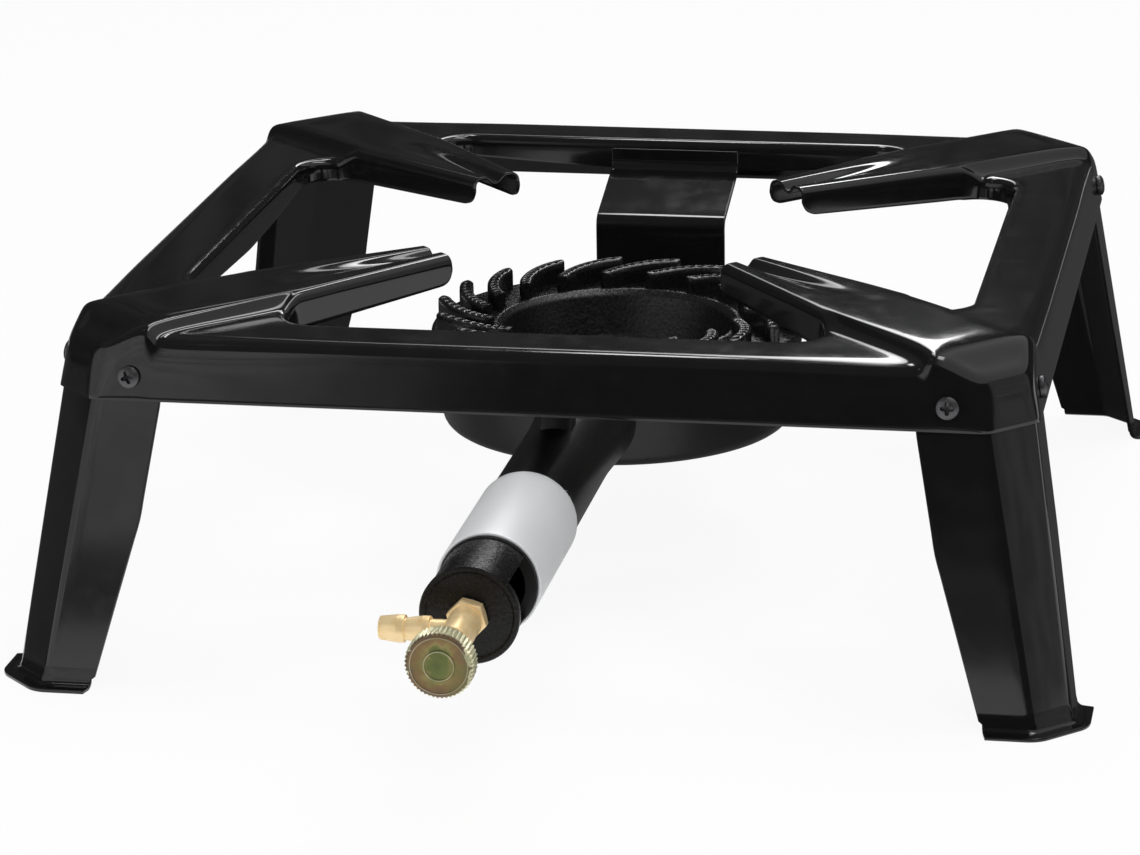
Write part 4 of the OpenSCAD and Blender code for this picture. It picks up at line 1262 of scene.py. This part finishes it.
class MakeStage(Make):
    """Set out the floor, the lights and the camera"""

    bl_idname = "burner_stand.stage"
    bl_label = "Stage"

    def make(self):
        scene = bpy.context.scene
        self.floor()
        self.world(scene)
        self.wall()
        self.ceiling()
        for glow, corners in FLOOR_CARDS:
            self.flat_card("floor_card", [corners[k] for k in (0, 1, 3, 2)], 0.001, glow)
        self.wedge()
        for name, glow, (x0, y0), (x1, y1) in CEILING_SPARKS:
            self.flat_card(name, [(x0, y0), (x1, y0), (x0, y1), (x1, y1)], 1.84, glow)
        for light in LIGHTS:
            self.area(*light).visible_glossy = False
        self.camera(scene)
        scene.view_settings.view_transform = "Standard"

    def floor(self):
        """A pale floor that is near white where it is seen, and keeps the object's shadow."""
        e = 6.0
        mesh = bpy.data.meshes.new("floor")
        mesh.from_pydata([(-e, -e, 0), (e, -e, 0), (e, e, 0), (-e, e, 0)], [], [(0, 1, 2, 3)])
        floor = bpy.data.objects.new("floor", mesh)
        bpy.context.scene.collection.objects.link(floor)
        s = Surface("floor_paint")
        mesh.materials.append(s.set(colour=(0.9, 0.9, 0.9), rough=0.9, level=0.1))
        white = s.node("ShaderNodeEmission", {}, {"Strength": 1.0})
        mixed = s.node("ShaderNodeMixShader", {}, {0: s.seen() * 0.92, 1: s.shader, 2: white})
        s.put(s.out.inputs[0], mixed)

    def world(self, scene):
        """White where it is seen, and dimmer where it only lights the object."""
        world = scene.world = bpy.data.worlds.new("studio")
        world.use_nodes = True
        s = Shading(world.node_tree)
        dim, white = (s.node("ShaderNodeBackground", {}, {"Color": (1, 1, 1), "Strength": glow})
                      for glow in (0.45, 1.0))
        mixed = s.node("ShaderNodeMixShader", {}, {0: s.seen(), 1: dim, 2: white})
        s.node("ShaderNodeOutputWorld", {}, {0: mixed})

    def wall(self):
        """A wall all round the set, dark but for two pale stretches."""
        turn = [0, 8, 14, 180, 190, 245, 252, 256, 259, 343, 349, 360]
        shade = [0.5, 0.5, 0.06, 0.06, 0.8, 1.25, 1.15, 0.5, 0.05, 0.05, 0.5, 0.5]
        a = np.linspace(0, 360, 361)
        ring = np.stack([np.cos(np.radians(a)), np.sin(np.radians(a)), 0 * a], axis=-1) * STAGE_R
        glow = np.interp(a, turn, shade)
        wall = np.stack([ring, ring + UP * STAGE_HIGH])
        self.card("wall_card", wall, np.stack([glow, glow]), 0.7)

    def ceiling(self):
        """A ceiling that grows pale to the right."""
        across, along = np.linspace(-STAGE_R, STAGE_R, 60), np.linspace(-STAGE_R, STAGE_R, 4)
        x, y = np.meshgrid(across, along)
        glow = mix(0.1, 0.6, ease((x - 0.15) / 0.5))
        self.card("ceiling_card", np.stack([x, y, STAGE_HIGH + 0 * x], axis=-1), glow)

    def wedge(self):
        """One bright wedge high up behind the set: columns across x, each from its low to its
        high edge and then forward along the ceiling, brighter to the right."""
        x = np.array([-0.62, -0.5, -0.25, -0.12, -0.02, 0.05])
        behind = np.full(6, 1.5)
        low = mix(0.9, 0.76, (x + 0.62) / 0.67)
        high = np.array([0.95, 1.0, 1.08, 1.5, 1.85, 1.85])
        reach = np.array([1.5, 1.5, 1.5, 1.5, 0.5, 0.3])
        top = np.array([0.95, 1.0, 1.08, 1.85, 1.85, 1.85])
        rows = [(x, behind, low), (x, behind, high), (x, reach, top)]
        wedge = np.stack([np.stack(row, axis=-1) for row in rows]) + [0, AXIS_Y, 0]
        self.card("bright_wedge", wedge, np.tile([0.6, 1.2, 2.2, 4.5, 9.0, 9.0], (3, 1)))

    def flat_card(self, name, corners, z, glow):
        """A level card of four corners, in two rows."""
        plan = np.array(corners).reshape(2, 2, 2) + [0, AXIS_Y]
        self.card(name, with_height(plan, z), np.full((2, 2), glow))

    def card(self, name, points, glow, blotch=0.0):
        """A grid of points that only reflections meet, with its own light at each, broken by
        blotches."""
        mesh = bpy.data.meshes.new(name)
        mesh.from_pydata(points.reshape(-1, 3).tolist(), [], grid_faces(*points.shape[:2]).tolist())
        light = mesh.attributes.new("glow", "FLOAT", "POINT")
        light.data.foreach_set("value", np.ravel(glow).astype(np.float32))
        card = bpy.data.objects.new(name, mesh)
        bpy.context.scene.collection.objects.link(card)
        s = Surface(name)
        own = s.node("ShaderNodeAttribute", {"attribute_name": "glow"}, {}, "Fac")
        if blotch:
            own = own * (1 - s.noise(24, 2.0, 0.5).step(0.48, 0.56) * blotch)
        mesh.materials.append(s.set(colour=(0, 0, 0), level=0.0, glow=own, glow_strength=1.0))
        card.visible_camera = card.visible_diffuse = False
        card.visible_transmission = card.visible_shadow = False

    def area(self, name, place, target, width, height, power):
        """A soft light at a place, facing a target."""
        data = bpy.data.lights.new(name, "AREA")
        data.shape, data.size, data.size_y, data.energy = "RECTANGLE", width, height, power
        lamp = bpy.data.objects.new(name, data)
        bpy.context.scene.collection.objects.link(lamp)
        lamp.location = place
        toward = Vector(target) - Vector(place)
        lamp.rotation_euler = toward.to_track_quat("-Z", "Y").to_euler()
        return lamp

    def camera(self, scene):
        """A camera turned by yaw, pitch and roll, with its focal length from pixels."""
        yaw, pitch, roll = (math.radians(v) for v in CAMERA_TURN)
        level = np.array([math.cos(yaw), math.sin(yaw), 0.0])
        ahead = np.array([-math.sin(yaw), math.cos(yaw), 0.0])
        forward = ahead * math.cos(pitch) - UP * math.sin(pitch)
        over = np.cross(level, forward)
        right = math.cos(roll) * level + math.sin(roll) * over
        up = -math.sin(roll) * level + math.cos(roll) * over
        data = bpy.data.cameras.new("camera")
        data.sensor_fit, data.sensor_width = "HORIZONTAL", SENSOR
        data.lens = FOCAL / FRAME_WIDTH * SENSOR
        data.clip_end = 50
        camera = bpy.data.objects.new("camera", data)
        scene.collection.objects.link(camera)
        m = np.eye(4)
        m[:3, 0], m[:3, 1], m[:3, 2] = right, up, -forward
        m[:3, 3] = np.array(CAMERA_PLACE) + [0, AXIS_Y, 0]
        camera.matrix_world = Matrix(m.tolist())
        scene.camera = camera


PIECES = (MakePressing, MakeLegs, MakeLegScrews, MakeStraps, MakeCasting, MakeCrown,
          MakeShutter, MakeValve, MakeKnob, MakeStage)


class StandPanel(bpy.types.Panel):
    """Lists the pieces with their sizes and colours"""

    bl_idname = "VIEW3D_PT_burner_stand"
    bl_label = "Burner Stand"
    bl_space_type = "VIEW_3D"
    bl_region_type = "UI"
    bl_category = "Burner Stand"

    def draw(self, context):
        scene = context.scene
        for group in (scene.stand_sizes, scene.burner_sizes, scene.stand_colours):
            box = self.layout.box()
            for name in group.bl_rna.properties.keys():
                if name not in {"rna_type", "name"}:
                    box.prop(group, name)
        for kind in PIECES:
            self.layout.operator(kind.bl_idname)


CLASSES = (StandSizes, BurnerSizes, StandColours, *PIECES, StandPanel)


def register():
    for kind in CLASSES:
        bpy.utils.register_class(kind)
    bpy.types.Scene.stand_sizes = bpy.props.PointerProperty(type=StandSizes)
    bpy.types.Scene.burner_sizes = bpy.props.PointerProperty(type=BurnerSizes)
    bpy.types.Scene.stand_colours = bpy.props.PointerProperty(type=StandColours)


def unregister():
    del bpy.types.Scene.stand_sizes, bpy.types.Scene.burner_sizes, bpy.types.Scene.stand_colours
    for kind in reversed(CLASSES):
        bpy.utils.unregister_class(kind)


def main():
    register()
    for kind in PIECES:
        group, name = kind.bl_idname.split(".")
        make = getattr(getattr(bpy.ops, group), name)
        if make() != {"FINISHED"}:
            raise RuntimeError(f"{kind.bl_label} wasn't made")


if __name__ == "__main__":
    main()
